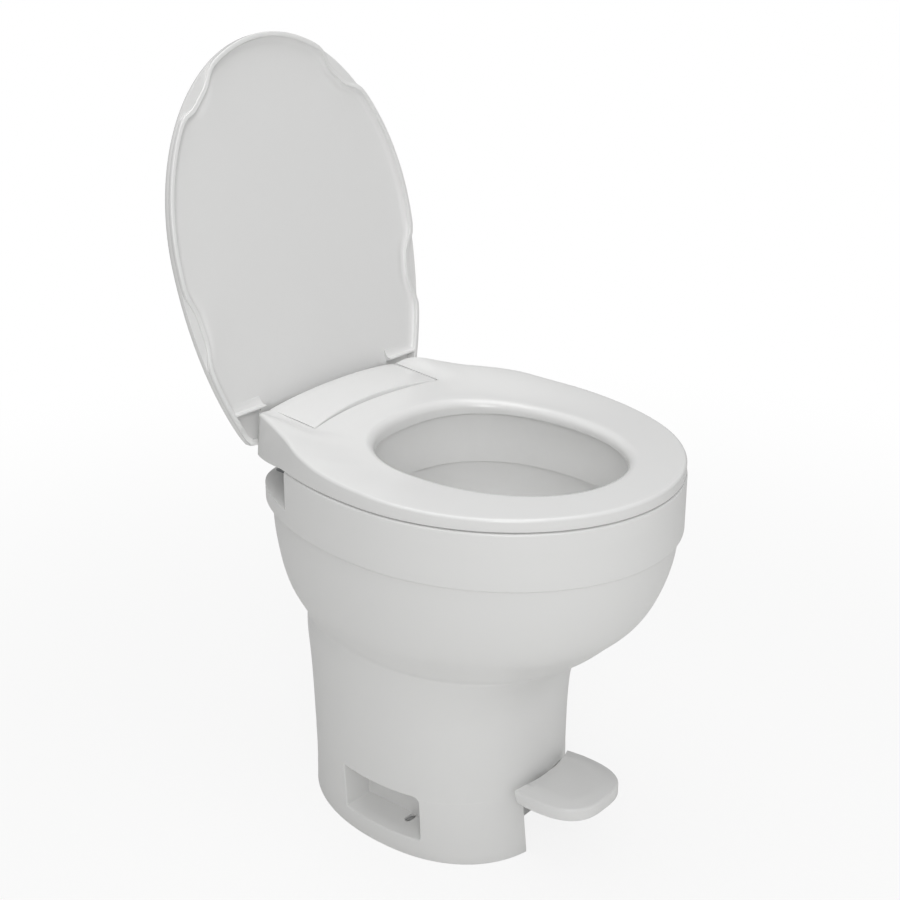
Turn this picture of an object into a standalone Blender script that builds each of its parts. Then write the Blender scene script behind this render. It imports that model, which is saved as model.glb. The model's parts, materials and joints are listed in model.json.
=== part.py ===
"""RV toilet: pedestal, bowl, seat, lid, foot pedal and the flushing mechanism inside.

Metres, +Z up. The sitter faces -Y, and +X is the sitter's left. The origin lies on the floor, under the
middle of the object with its lid open. The lid stands open at rest, as the toilet is usually seen.
"""

import math

import bmesh
import bpy
from mathutils import Matrix, Vector

# Clearances shared by all fits
touch_gap = 0.0003
overrun = 0.004
outline_points = 44
lid_points = 68
round_points = 12
small_round_points = 6
hex_points = 6
turned_points = 20
sphere_around = 24
sphere_up = 14

# Plan of the rim, seen from above
rim_half_width = 0.190
rim_front_reach = 0.215
rim_rear_reach = 0.265
rim_rear_cut = 0.225
rim_corner_softness = 0.008
widest_y = -0.0480

# Pedestal shell
base_center_y = 0.0020
base_half_width = 0.1180
base_front_reach = 0.1385
base_rear_reach = 0.1695
crease_height = 0.236
crease_half_width = 0.1410
crease_front_reach = 0.172
crease_rear_reach = 0.1780
column_front_power = 2.3
bulge_center_y = 0.0620
shell_height = 0.3782
shell_top_scale = 0.985
shell_crease_scale = 0.735
shell_wall = 0.0045
shell_wall_rise = 0.003
column_shares = (
    (0.0, 0.0, 0.0, 0.0),
    (0.21, 0.13, -0.15, -0.4),
    (0.42, 0.31, -0.22, -0.4),
    (0.64, 0.52, -0.22, -0.15),
    (0.77, 0.66, -0.10, 0.15),
    (0.89, 0.82, 0.33, 0.7),
    (1.0, 1.0, 1.0, 1.0),
)
bulge_shares = (
    (0.02, 0.02),
    (0.085, 0.17),
    (0.19, 0.36),
    (0.335, 0.61),
    (0.51, 0.79),
    (0.76, 0.94),
    (1.0, 1.0),
)

# Floor of the pedestal, with its recess and outlet hole
floor_top = 0.018
floor_bottom = 0.010
recess_half_width = 0.070
recess_reach = 0.105
outlet_hole_radius = 0.047

# Side pockets for the floor bolts
pocket_front_y = -0.0480
pocket_rear_y = 0.0570
pocket_bottom = 0.0195
pocket_top = 0.0755
pocket_depth_x = 0.078
pocket_wall = 0.003
pocket_corner = 0.008
slot_x = 0.092
slot_y = -0.0220
slot_length = 0.016
slot_width = 0.008

# Cut-out for the pedal's lever
notch_half_width = 0.028
notch_height = 0.078
notch_depth = 0.030

# Bowl moulding
band_height = 0.0583
rim_top = shell_height + band_height
rim_wall = 0.005
rim_roof = 0.004
rim_edge_round = 0.003
bore_center_y = -0.0630
bore_half_width = 0.122
bore_front_reach = 0.153
bore_rear_reach = 0.131
rim_inner_depth = 0.0585
rim_inner_bottom = rim_top - rim_inner_depth
bowl_wall = 0.004
bowl_power = 2.3
throat_radius = 0.034
throat_y = 0.0160
funnel_shares = (
    (0.965, 1.04, 0.0),
    (0.84, 1.02, 0.04),
    (0.62, 0.84, 0.18),
    (0.40, 0.58, 0.45),
    (0.20, 0.36, 0.75),
)
deck_start_y = 0.0770
deck_rise = 0.0148
deck_top = shell_height + deck_rise
deck_thickness = 0.005
deck_lip = 0.0015
deck_wall = 0.004

# Seat
seat_gap = 0.002
seat_inset = 0.001
seat_front_thickness = 0.0125
seat_rise = 0.0142
seat_rise_start_y = -0.0240
seat_rise_end_y = 0.1660
seat_rise_power = 1.5
seat_edge_round = 0.005
seat_bore_half_width = 0.112
seat_bore_front_reach = 0.143
seat_bore_rear_reach = 0.123
seat_bore_round = 0.008
seat_rear_cut = 0.2135
seat_rear_reach_extra = 0.008
seat_corner_softness = 0.003

# Hinge axis, brackets, pins, cover
hinge_y = 0.1420
hinge_rise = 0.0115
hinge_z = rim_top + hinge_rise
pin_radius = 0.0042
bracket_outer_x = 0.0985
bracket_thickness = 0.013
bracket_half_depth = 0.0085
foot_inner_x = 0.066
foot_thickness = 0.003
foot_front = 0.018
foot_rear = 0.017
hinge_bolt_x = 0.0755
hinge_bolt_radius = 0.003
hinge_bolt_head_radius = 0.0052
hinge_bolt_head_height = 0.004
hinge_nut_height = 0.004
arm_inner_x = 0.1002
ear_inner_x = 0.0715
ear_thickness = 0.0085
ear_radius = 0.0085
ear_bar_top = 0.0062
ear_bar_drop = 0.0015
ear_post_front = 0.0258
ear_post_rear = 0.0298
ear_post_top = 0.0300
arm_skin = 0.0035
seat_notch_y = 0.0917
seat_notch_bow = 0.0045
cover_half_width = 0.0983
cover_front_y = 0.0945
cover_rear_y = 0.1650
cover_front_rise = 0.0110
cover_rear_rise = 0.0170
cover_front_height = hinge_z + cover_front_rise
cover_rear_height = hinge_z + cover_rear_rise
cover_crown = 0.0050
cover_thickness = 0.0028
cover_front_drop = 0.0080
cover_front_bow = 0.0045
cover_rib_width = 0.0090
cover_edge_round = 0.002

# Lid, modelled closed and then turned open about the hinge
lid_open_degrees = 105.2
lid_half_width = 0.1785
lid_front_reach = 0.2165
lid_rear_reach = 0.295
lid_rear_cut = 0.2205
lid_corner_cut = 0.2020
lid_corner_start_x = 0.1010
lid_corner_end_x = 0.1170
lid_corner_softness = 0.004
lid_front_rise = 0.0135
lid_hinge_rise = 0.0295
lid_lip_height_front = hinge_z + lid_front_rise
lid_lip_height_hinge = hinge_z + lid_hinge_rise
lid_lip_depth = 0.0085
lid_skin = 0.003
lid_wall = 0.003
lid_lip_overhang = 0.001
lid_fillet = 0.004
lid_dome = 0.0150
lid_dome_power = 2.0
lid_panel_drop = 0.0015
scallop_depth = 0.012
scallop_spread = 0.15
scallop_angles_degrees = (34.6, 102.0)
lid_arm_clearance_radius = 0.0277
lid_cover_clearance_radius = 0.0340
lid_center_half_width = 0.1000
lid_bracket_relief_inner_x = 0.0815
lid_bracket_relief_front = 0.0225
lid_rear_relief_front = 0.0200
lid_center_rise = 0.0283
lid_center_bottom = hinge_z + lid_center_rise
relief_points = 32

# Ball valve, its housing and seals
ball_height = 0.078
ball_radius = 0.0465
ball_thickness = 0.0030
ball_cap_degrees = 47.0
ball_strap_half_width = 0.009
ball_shaft_radius = 0.005
ball_shaft_left = -0.0600
ball_shaft_right = 0.0655
chamber_radius = 0.0485
chamber_mouth_height = 0.1105
housing_radius = 0.0535
housing_top = 0.128
housing_flange_radius = 0.0603
housing_flange_height = 0.006
housing_plate_radius = 0.063
housing_plate_height = 0.005
seal_recess_radius = 0.0428
seal_recess_bottom = 0.1122
spigot_radius = 0.044
spigot_bore = 0.038
spigot_bottom = 0.004
seal_lip_degrees = 38.5
throat_wall = 0.004
throat_flange_radius = 0.0590
throat_flange_height = 0.004
throat_neck_height = 0.022
ring_web = 0.003
ring_lip = 0.0030
ring_top_inner_radius = 0.050
ring_bottom_inner_radius = 0.0565
flange_seal_outer = 0.062

# Pedal, sector and pinion
pedal_pivot_y = -0.0500
pinion_teeth = 12
sector_teeth_full = 54
gear_module = 0.002
gear_pressure_degrees = 25.0
gear_addendum_share = 0.8
gear_dedendum_share = 1.15
gear_backlash = 0.0004
gear_inner_x = 0.0560
gear_width = 0.0090
sector_first_tooth = -5
sector_last_tooth = 2
pivot_pin_radius = 0.004
hub_radius = 0.010
hub_left_x = -0.0240
hub_right_x = 0.0665
lug_thickness = 0.0055
lug_front_y = -0.0600
lug_top = 0.088
lug_gap = 0.0007
lever_half_width = 0.014
lever_bottom = 0.0575
lever_top = 0.0717
lever_front_y = -0.1330
tongue_front_y = -0.1780
tongue_bottom = 0.0662
tongue_top = 0.0717
pad_half_width = 0.060
pad_front_y = -0.2110
pad_bottom = 0.0720
pad_edge_height = 0.0145
pad_crown = 0.005
pad_corner_y = -0.1450
pad_wall_gap = 0.0045
pad_power = 2.8
pad_undercut = 0.0110
pad_edge_round = 0.003
wing_front_y = -0.0840
wing_rear_y = -0.0720
wing_left_x = -0.060
wing_bottom = 0.0595
wing_top = 0.0655

# Water valve, vacuum breaker, hoses
valve_x = -0.052
valve_y = -0.0780
valve_radius = 0.011
valve_top = 0.040
plunger_radius = 0.0035
plunger_head_radius = 0.006
plunger_head_height = 0.003
plunger_depth = 0.026
plunger_travel = 0.0112
valve_spring_radius = 0.0048
valve_spring_wire = 0.0004
valve_spring_turns = 4
return_spring_y = -0.0940
return_spring_radius = 0.0075
return_spring_wire = 0.0006
return_spring_turns = 6
breaker_y = 0.1210
breaker_radius = 0.017
breaker_bore = 0.0125
breaker_depth = 0.0750
breaker_bottom = deck_top - breaker_depth
breaker_floor_thickness = 0.010
breaker_floor = breaker_bottom + breaker_floor_thickness
breaker_nipple_radius = 0.0050
breaker_nipple_length = 0.012
breaker_flange_radius = 0.0215
breaker_flange_height = 0.002
breaker_cap_radius = 0.0190
breaker_cap_height = 0.0045
float_height = 0.010
float_clearance = 0.001
nozzle_drop = 0.016
nozzle_height = rim_inner_bottom - nozzle_drop
nozzle_tail_radius = 0.005
nozzle_face_radius = 0.009
nozzle_face_thickness = 0.0025
hose_radius = 0.005
feed_radius = 0.004
flush_port_height = 0.0345
inlet_port_height = 0.0245
flush_lane_height = 0.0370
hose_end_gap = 0.0008
hose_straight = 0.010
inlet_height = 0.050
inlet_radius = 0.009
inlet_flange_radius = 0.014
inlet_flange_thickness = 0.004
inlet_outside_length = 0.014
inlet_wall_setback = 0.0058

# Screws
screw_radius = 0.0020
screw_head_radius = 0.0042
screw_head_height = 0.0026
screw_hole_clearance = 0.0004
deck_screw_x = 0.062
deck_screw_y = 0.1620
deck_screw_length = 0.040
deck_boss_radius = 0.0070
deck_boss_height = 0.036
housing_screw_ring = 0.0585
pad_screw_x = 0.008
pad_screw_y = -0.1690
pad_screw_length = 0.013
bumper_radius = 0.007
bumper_pocket_depth = 0.003
bumper_side_share = 0.86
bumper_front_y = -0.1740
bumper_rear_y = 0.0460

colors = {
    "shell_white": ((0.62, 0.62, 0.60), 0.32, 0.0),
    "seat_white": ((0.72, 0.72, 0.71), 0.28, 0.0),
    "rubber_gray": ((0.10, 0.10, 0.10), 0.75, 0.0),
    "seal_black": ((0.03, 0.03, 0.03), 0.70, 0.0),
    "mechanism_gray": ((0.30, 0.31, 0.32), 0.45, 0.0),
    "valve_blue_gray": ((0.16, 0.20, 0.26), 0.45, 0.0),
    "steel": ((0.55, 0.55, 0.56), 0.30, 1.0),
    "brass": ((0.70, 0.52, 0.24), 0.30, 1.0),
    "hose_gray": ((0.35, 0.36, 0.36), 0.50, 0.0),
}


def clear_scene():
    for obj in list(bpy.data.objects):
        bpy.data.objects.remove(obj, do_unlink=True)


def finish_material(name, finish):
    color, roughness, metallic = colors[finish]
    material = bpy.data.materials.new(name)
    material.use_nodes = True
    shader = material.node_tree.nodes["Principled BSDF"]
    shader.inputs["Base Color"].default_value = (*color, 1.0)
    shader.inputs["Roughness"].default_value = roughness
    shader.inputs["Metallic"].default_value = metallic
    return material


def object_from(name, bm, finish, sharp_degrees=35.0):
    bmesh.ops.remove_doubles(bm, verts=bm.verts, dist=touch_gap * 0.01)
    bmesh.ops.recalc_face_normals(bm, faces=bm.faces)
    mesh = bpy.data.meshes.new(name)
    bm.to_mesh(mesh)
    bm.free()
    obj = bpy.data.objects.new(name, mesh)
    bpy.context.collection.objects.link(obj)
    if finish:
        mesh.materials.append(finish_material(name, finish))
        mesh.shade_smooth()
        mesh.set_sharp_from_angle(angle=math.radians(sharp_degrees))
    return obj


def boolean(obj, tool, operation):
    """Cut the tool out of the object, or join it, with the tool kept as a hidden child."""
    tool.hide_render = True
    tool.display_type = "WIRE"
    tool.parent = obj
    modifier = obj.modifiers.new(tool.name, "BOOLEAN")
    modifier.solver = "EXACT"
    modifier.operation = operation
    modifier.object = tool


def cut(obj, *tools):
    for tool in tools:
        boolean(obj, tool, "DIFFERENCE")


def join(obj, *tools):
    for tool in tools:
        boolean(obj, tool, "UNION")


def keep(obj, tool):
    boolean(obj, tool, "INTERSECT")


def set_pivot(obj, point, turn_degrees=0.0):
    """Move the object's origin, with its tools, to a joint's axis, then turn it about X."""
    shift = Matrix.Translation(-Vector(point))
    for piece in (obj, *obj.children_recursive):
        piece.data.transform(shift)
    obj.location = point
    obj.rotation_euler.x = math.radians(turn_degrees)


def extruded_ring(bm, edges, ring, target):
    """Extrude a loop of edges and set the new vertices on the target points, in order."""
    made = bmesh.ops.extrude_edge_only(bm, edges=edges)["geom"]
    fresh = {item for item in made if isinstance(item, bmesh.types.BMVert)}
    new_edges = [item for item in made if isinstance(item, bmesh.types.BMEdge)]
    new_ring = []
    for vert, point in zip(ring, target):
        twin = next(e.other_vert(vert) for e in vert.link_edges if e.other_vert(vert) in fresh)
        twin.co = point
        new_ring.append(twin)
    loops = [e for e in new_edges if e.verts[0] in fresh and e.verts[1] in fresh]
    return loops, new_ring


def loft(name, rings, finish=None, closed=False):
    """Skin a stack of rings. A closed stack ends where it began, else flat faces cap both ends."""
    bm = bmesh.new()
    first = [bm.verts.new(point) for point in rings[0]]
    count = len(first)
    edges = [bm.edges.new((first[i], first[(i + 1) % count])) for i in range(count)]
    if not closed:
        bm.faces.new(first)
    ring = first
    for target in rings[1:]:
        edges, ring = extruded_ring(bm, edges, ring, target)
    if closed:
        extruded_ring(bm, edges, ring, rings[0])
    else:
        bm.faces.new(ring)
    return object_from(name, bm, finish)


def box(name, low, high, finish=None):
    bm = bmesh.new()
    bmesh.ops.create_cube(bm, size=1.0)
    low = Vector(low)
    high = Vector(high)
    for vert in bm.verts:
        vert.co = (low + high) / 2 + Vector(a * b for a, b in zip(vert.co, high - low))
    return object_from(name, bm, finish)


def cylinder(name, center, axis, radius, start, end, finish=None, points=round_points):
    """A rod along X, Y or Z, from start to end on that axis, through the center's other two values."""
    quarter = math.pi / 2
    turn = {
        "X": Matrix.Rotation(quarter, 3, "Y"),
        "Y": Matrix.Rotation(quarter, 3, "X"),
        "Z": Matrix.Identity(3),
    }
    bm = bmesh.new()
    size = {"radius1": radius, "radius2": radius, "depth": end - start}
    bmesh.ops.create_cone(bm, cap_ends=True, segments=points, **size)
    place = Vector(center)
    place["XYZ".index(axis)] = (start + end) / 2
    for vert in bm.verts:
        vert.co = turn[axis] @ vert.co + place
    return object_from(name, bm, finish)


def turned(name, profile, center, axis="Z", finish=None, points=turned_points, closed=True):
    """Spin a (radius, height) outline about Z or Y through the center."""
    rings = []
    for radius, height in profile:
        ring = []
        for i in range(points):
            angle = math.tau * i / points
            across = radius * math.cos(angle)
            along = radius * math.sin(angle)
            offset = (across, along, height) if axis == "Z" else (across, height, along)
            ring.append(Vector(center) + Vector(offset))
        rings.append(ring)
    return loft(name, rings, finish, closed=closed)


def prism(name, outline, low_x, high_x, finish=None):
    """Extrude a (y, z) outline along X."""
    bm = bmesh.new()
    face = bm.faces.new([bm.verts.new((low_x, y, z)) for y, z in outline])
    made = bmesh.ops.extrude_face_region(bm, geom=[face])["geom"]
    far_end = [item for item in made if isinstance(item, bmesh.types.BMVert)]
    bmesh.ops.translate(bm, vec=(high_x - low_x, 0, 0), verts=far_end)
    return object_from(name, bm, finish)


def angles(count=outline_points):
    return [math.tau * i / count for i in range(count)]


def oval(angle, half_width, front, rear, front_power=2.0, rear_power=2.0):
    """A point of an oval about zero. Angle 0 is the front, and powers above 2 square the corners."""
    across = math.sin(angle)
    along = -math.cos(angle)
    reach, power = (front, front_power) if along < 0 else (rear, rear_power)
    x = half_width * math.copysign(abs(across) ** (2 / power), across)
    y = reach * math.copysign(abs(along) ** (2 / power), along)
    return x, y


def soft_limit(value, limit, softness):
    return value - softness * math.log1p(math.exp((value - limit) / softness))


def rim_point(angle, inset=0.0):
    """The rim's outline, moved in by an inset, with its flat rear."""
    x, y = oval(angle, rim_half_width - inset, rim_front_reach - inset, rim_rear_reach - inset)
    return x, widest_y + soft_limit(y, rim_rear_cut - inset, rim_corner_softness)


def rim_ring(height, inset=0.0):
    return [Vector((*rim_point(angle, inset), height)) for angle in angles()]


def bore_ring(height, grow=0.0):
    """The bowl's opening inside the rim."""
    half_width = bore_half_width + grow
    ring = []
    for angle in angles():
        x, y = oval(angle, half_width, bore_front_reach + grow, bore_rear_reach + grow, 2.1, bowl_power)
        ring.append(Vector((x, bore_center_y + y, height)))
    return ring


def between(start, end, share):
    return start + (end - start) * share


def column_ring(row, wall, rise=0.0):
    height_share, width_share, front_share, rear_share = row
    half_width = between(base_half_width, crease_half_width, width_share)
    front = between(base_front_reach, crease_front_reach, front_share)
    rear = between(base_rear_reach, crease_rear_reach, rear_share)
    ring = []
    for angle in angles():
        x, y = oval(angle, half_width - wall, front - wall, rear - wall, column_front_power)
        ring.append(Vector((x, base_center_y + y, height_share * crease_height + rise)))
    return ring


def bulge_ring(row, wall, rise=0.0):
    height_share, scale_share = row
    scale = between(shell_crease_scale, shell_top_scale, scale_share)
    height = between(crease_height, shell_height, height_share)
    ring = []
    for angle in angles():
        x, y = rim_point(angle, wall / scale)
        ring.append(Vector((x * scale, bulge_center_y + (y - bulge_center_y) * scale, height + rise)))
    return ring


def shell_rings(wall, rise=0.0):
    rings = [column_ring(row, wall) for row in column_shares]
    return rings + [bulge_ring(row, wall, rise) for row in bulge_shares]


def cavity_rings():
    """The inside of the shell, from its floor to past its top."""
    rings = shell_rings(shell_wall, shell_wall_rise)
    floor = [Vector((point.x, point.y, floor_top)) for point in rings[0]]
    top = [Vector((point.x, point.y, shell_height + overrun)) for point in rings[-1]]
    return [floor, *rings[1:-1], top]


def pocket_box(name, side, grow):
    """A floor-bolt pocket, or its casing when grown by a wall."""
    outer = base_half_width + crease_half_width
    low = (pocket_depth_x - grow, pocket_front_y - grow, pocket_bottom - grow)
    high = (outer, pocket_rear_y + grow, pocket_top + grow)
    if side < 0:
        low, high = (-high[0], low[1], low[2]), (-low[0], high[1], high[2])
    obj = box(name, low, high)
    bm = bmesh.new()
    bm.from_mesh(obj.data)
    front = low[1] + pocket_corner
    top = high[2] - pocket_corner
    upper_front = [e for e in bm.edges if all(v.co.y < front and v.co.z > top for v in e.verts)]
    bmesh.ops.bevel(bm, geom=upper_front, offset=pocket_corner, segments=3, profile=0.5, affect="EDGES")
    bm.to_mesh(obj.data)
    bm.free()
    return obj


def slot_tool(name, side):
    """An upright slotted hole, its length along X."""
    straight = (slot_length - slot_width) / 2
    outline = []
    for i in range(small_round_points + 1):
        angle = math.pi * i / small_round_points - math.pi / 2
        outline.append((straight + slot_width / 2 * math.cos(angle), slot_width / 2 * math.sin(angle)))
    outline += [(-x, -y) for x, y in outline]
    low = -overrun
    high = pocket_bottom + overrun
    rings = [[Vector((side * slot_x + x, slot_y + y, z)) for x, y in outline] for z in (low, high)]
    return loft(name, rings)


def make_pedestal_shell():
    shell = loft("pedestal_shell", shell_rings(0.0), "shell_white")
    cavity = loft("shell_cavity", cavity_rings())
    cut(cavity, *(pocket_box(f"pocket_casing_{side}", side, pocket_wall) for side in (-1, 1)))
    cut(cavity, *deck_bosses("shell_boss", shell_height - deck_boss_height, shell_height + 2 * overrun))
    cut(shell, cavity)
    cut(shell, *(pocket_box(f"pocket_{side}", side, 0.0) for side in (-1, 1)))
    cut(shell, *(slot_tool(f"bolt_slot_{side}", side) for side in (-1, 1)))
    recess = []
    for height in (-overrun, floor_bottom):
        ring = [oval(angle, recess_half_width, recess_reach, recess_reach, 2.6, 2.6) for angle in angles()]
        recess.append([Vector((x, throat_y + y * 0.9, height)) for x, y in ring])
    cut(shell, loft("floor_recess", recess))
    cut(shell, cylinder("outlet_hole", (0, throat_y, 0), "Z", outlet_hole_radius, 0.0, floor_top + overrun))
    front = base_center_y - base_front_reach
    notch_low = (-notch_half_width, front - overrun, -overrun)
    notch_high = (notch_half_width, front + notch_depth, notch_height)
    cut(shell, box("lever_notch", notch_low, notch_high))
    rear = base_center_y + base_rear_reach
    center = (0, 0, inlet_height)
    radius = inlet_radius + touch_gap
    cut(shell, cylinder("inlet_hole", center, "Y", radius, rear - notch_depth, rear + overrun))
    hole = (floor_bottom - overrun, floor_top + overrun)
    cut(shell, *screw_holes("housing_hole", housing_screw_places(), *hole))
    boss_bottom = shell_height - deck_boss_height
    holes = screw_holes("boss_hole", deck_screw_places(), boss_bottom + overrun, shell_height + overrun)
    cut(shell, *holes)
    return shell


def deck_screw_places():
    return [(side * deck_screw_x, deck_screw_y) for side in (-1, 1)]


def housing_screw_places():
    places = []
    for corner in range(4):
        angle = math.pi / 4 + math.pi / 2 * corner
        places.append((housing_screw_ring * math.cos(angle), throat_y + housing_screw_ring * math.sin(angle)))
    return places


def screw_holes(name, places, low, high):
    radius = screw_radius + screw_hole_clearance
    return [
        cylinder(f"{name}_{i}", (x, y, 0), "Z", radius, low, high, points=small_round_points)
        for i, (x, y) in enumerate(places)
    ]


def deck_bosses(name, low, high):
    """Posts behind the shell's rear wall that the deck screws bite into."""
    rear = deck_screw_y + deck_boss_radius + overrun
    bosses = []
    for i, (x, y) in enumerate(deck_screw_places()):
        low_corner = (x - deck_boss_radius, y - deck_boss_radius, low)
        high_corner = (x + deck_boss_radius, rear, high)
        bosses.append(box(f"{name}_{i}", low_corner, high_corner))
    return bosses


def funnel_ring(row, grow):
    """One ring of the bowl's inside, or of its outside when grown by the wall."""
    height_share, scale, to_throat = row
    height = between(throat_top(), rim_inner_bottom, height_share)
    half_width = between(bore_half_width * scale, throat_radius, to_throat * 0.35) + grow
    front = between(bore_front_reach * scale, throat_radius, to_throat * 0.35) + grow
    rear = between(bore_rear_reach * scale, throat_radius, to_throat * 0.35) + grow
    center = between(bore_center_y, throat_y, to_throat)
    ring = []
    for angle in angles():
        x, y = oval(angle, half_width, front, rear, 2.1, between(bowl_power, 2.0, to_throat))
        ring.append(Vector((x, center + y, height)))
    return ring


def throat_top():
    return housing_top + throat_flange_height + throat_neck_height


def throat_ring(height, radius):
    return [Vector((radius * math.sin(a), throat_y - radius * math.cos(a), height)) for a in angles()]


def bowl_rings():
    """The bowl's section, once round: band, rim, inner wall, funnel, throat and back up the outside."""
    seal_top = housing_top - touch_gap * 4
    flange_bottom = housing_top + touch_gap
    flange_top = flange_bottom + throat_flange_height
    outer_throat = throat_radius + throat_wall
    band_bottom = shell_height + touch_gap
    roof = rim_top - rim_roof
    rings = [
        rim_ring(band_bottom, rim_edge_round / 3),
        rim_ring(band_bottom + rim_edge_round / 3, 0.0),
        rim_ring(rim_top - rim_edge_round, 0.0),
        rim_ring(rim_top - rim_edge_round / 3, rim_edge_round / 3),
        rim_ring(rim_top, rim_edge_round),
        bore_ring(rim_top, rim_edge_round),
        bore_ring(rim_top - rim_edge_round, 0.0),
        bore_ring(rim_inner_bottom, 0.0),
    ]
    rings += [funnel_ring(row, 0.0) for row in funnel_shares]
    rings += [
        throat_ring(throat_top(), throat_radius),
        throat_ring(seal_top, throat_radius),
        throat_ring(seal_top, outer_throat),
        throat_ring(flange_bottom, outer_throat + touch_gap * 3),
        throat_ring(flange_bottom, throat_flange_radius),
        throat_ring(flange_top, throat_flange_radius),
        throat_ring(flange_top, outer_throat),
        throat_ring(throat_top(), outer_throat),
    ]
    rings += [funnel_ring(row, bowl_wall) for row in reversed(funnel_shares)]
    rings += [
        bore_ring(roof, bowl_wall + rim_edge_round / 3),
        rim_ring(roof, rim_wall),
        rim_ring(band_bottom, rim_wall * 2),
    ]
    return rings


def make_bowl():
    bowl = loft("bowl", bowl_rings(), "shell_white", closed=True)
    far = rim_half_width + overrun
    lip = deck_top + deck_lip
    cut(bowl, box("deck_clearing", (-far, deck_start_y, lip), (far, far + rim_rear_cut, rim_top + overrun)))
    deck = loft("deck_plate", [rim_ring(z, rim_wall / 2) for z in (deck_top - deck_thickness, deck_top)])
    keep(deck, box("deck_area", (-far, deck_start_y - deck_wall, 0), (far, far + rim_rear_cut, rim_top)))
    wall_heights = (deck_top - deck_thickness * 0.7, rim_top - rim_roof / 2)
    wall = loft("deck_wall", [rim_ring(z, rim_wall / 2) for z in wall_heights])
    wall_low = (-far, deck_start_y - deck_wall, 0)
    wall_high = (far, deck_start_y, rim_top + overrun)
    keep(wall, box("deck_wall_area", wall_low, wall_high))
    join(bowl, deck, wall)
    spacers = []
    for i, (x, y) in enumerate(deck_screw_places()):
        low = shell_height + touch_gap
        high = deck_top - deck_thickness / 2
        spacers.append(cylinder(f"deck_spacer_{i}", (x, y, 0), "Z", deck_boss_radius * 0.8, low, high))
    join(bowl, *spacers)
    cut(bowl, *screw_holes("deck_hole", deck_screw_places(), shell_height - overrun, deck_top + overrun))
    hole = (deck_top - 3 * overrun, deck_top + overrun)
    radius = hinge_bolt_radius + touch_gap
    for side in (-1, 1):
        place = (side * hinge_bolt_x, hinge_y, 0)
        cut(bowl, cylinder(f"hinge_hole_{side}", place, "Z", radius, *hole))
    radius = breaker_radius + touch_gap
    cut(bowl, cylinder("breaker_hole", (0, breaker_y, 0), "Z", radius, *hole, points=turned_points))
    nozzle = (0, 0, nozzle_height)
    rear = bore_center_y + bore_rear_reach
    radius = nozzle_tail_radius + touch_gap
    cut(bowl, cylinder("nozzle_hole", nozzle, "Y", radius, rear - overrun * 2, rear + overrun * 6))
    return bowl


def seat_bottom():
    return rim_top + seat_gap


def seat_top(y):
    """The seat rises in a smooth curve towards its rear arms."""
    share = (y - seat_rise_start_y) / (seat_rise_end_y - seat_rise_start_y)
    share = min(max(share, 0.0), 1.0)
    return seat_bottom() + seat_front_thickness + seat_rise * share**seat_rise_power


def seat_outline(inset, drop=None, height=None):
    inset += seat_inset
    rear = rim_rear_reach + seat_rear_reach_extra - inset
    ring = []
    for angle in angles():
        x, y = oval(angle, rim_half_width - inset, rim_front_reach - inset, rear)
        y = widest_y + soft_limit(y, seat_rear_cut - inset, seat_corner_softness)
        ring.append(Vector((x, y, seat_top(y) - drop if height is None else height)))
    return ring


def seat_bore(grow, drop=None, height=None):
    ring = []
    for angle in angles():
        half_width = seat_bore_half_width + grow
        x, y = oval(angle, half_width, seat_bore_front_reach + grow, seat_bore_rear_reach + grow, 2.1, 2.4)
        y += bore_center_y
        ring.append(Vector((x, y, seat_top(y) - drop if height is None else height)))
    return ring


def midway(first, second, share, lift):
    return [a.lerp(b, share) + Vector((0, 0, lift)) for a, b in zip(first, second)]


def bumper_places():
    places = []
    for y in (bumper_front_y, bumper_rear_y):
        reach = rim_front_reach if y < widest_y else rim_rear_reach
        half = rim_half_width * math.sqrt(1 - ((y - widest_y) / reach) ** 2)
        places += [(-half * bumper_side_share, y), (half * bumper_side_share, y)]
    return places


def make_seat_ring():
    outer_top = seat_outline(seat_edge_round, 0.0)
    inner_top = seat_bore(seat_bore_round, 0.0)
    base = seat_bottom()
    rings = [
        seat_outline(seat_edge_round / 2, height=base),
        seat_outline(0.0, height=base + seat_edge_round / 3),
        seat_outline(0.0, seat_edge_round),
        seat_outline(seat_edge_round * 0.3, seat_edge_round * 0.3),
        outer_top,
        midway(outer_top, inner_top, 0.5, seat_edge_round * 0.2),
        inner_top,
        seat_bore(seat_bore_round * 0.3, seat_bore_round * 0.3),
        seat_bore(0.0, seat_bore_round),
        seat_bore(0.0, height=base + seat_edge_round / 3),
        seat_bore(seat_edge_round / 2, height=base),
    ]
    seat = loft("seat_ring", rings, "seat_white", closed=True)
    top = rim_top + overrun * 10
    far = hinge_y + rim_rear_cut
    notch = []
    for height in (base - overrun, top):
        stations = [between(-arm_inner_x, arm_inner_x, i / 12) for i in range(13)]
        bowed = [(x, seat_notch_y + seat_notch_bow * (1 - (x / arm_inner_x) ** 2)) for x in stations]
        notch.append([Vector((x, y, height)) for x, y in [*bowed, (arm_inner_x, far), (-arm_inner_x, far)]])
    cut(seat, loft("cover_notch", notch))
    for side in (-1, 1):
        bore = sorted((side * (arm_inner_x - overrun), side * pin_end_x()))
        cut(seat, cylinder(f"pin_bore_{side}", (0, hinge_y, hinge_z), "X", pin_radius + touch_gap, *bore))
    pocket = (base - overrun, base + bumper_pocket_depth)
    for i, place in enumerate(bumper_places()):
        cut(seat, cylinder(f"bumper_pocket_{i}", (*place, 0), "Z", bumper_radius + touch_gap, *pocket))
    set_pivot(seat, (0, hinge_y, hinge_z))
    return seat


def pin_end_x():
    """The pin stops short of the arm's outer side, which stays whole."""
    half = rim_half_width * math.sqrt(1 - ((hinge_y - widest_y) / rim_rear_reach) ** 2)
    return half - seat_inset - arm_skin


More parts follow.
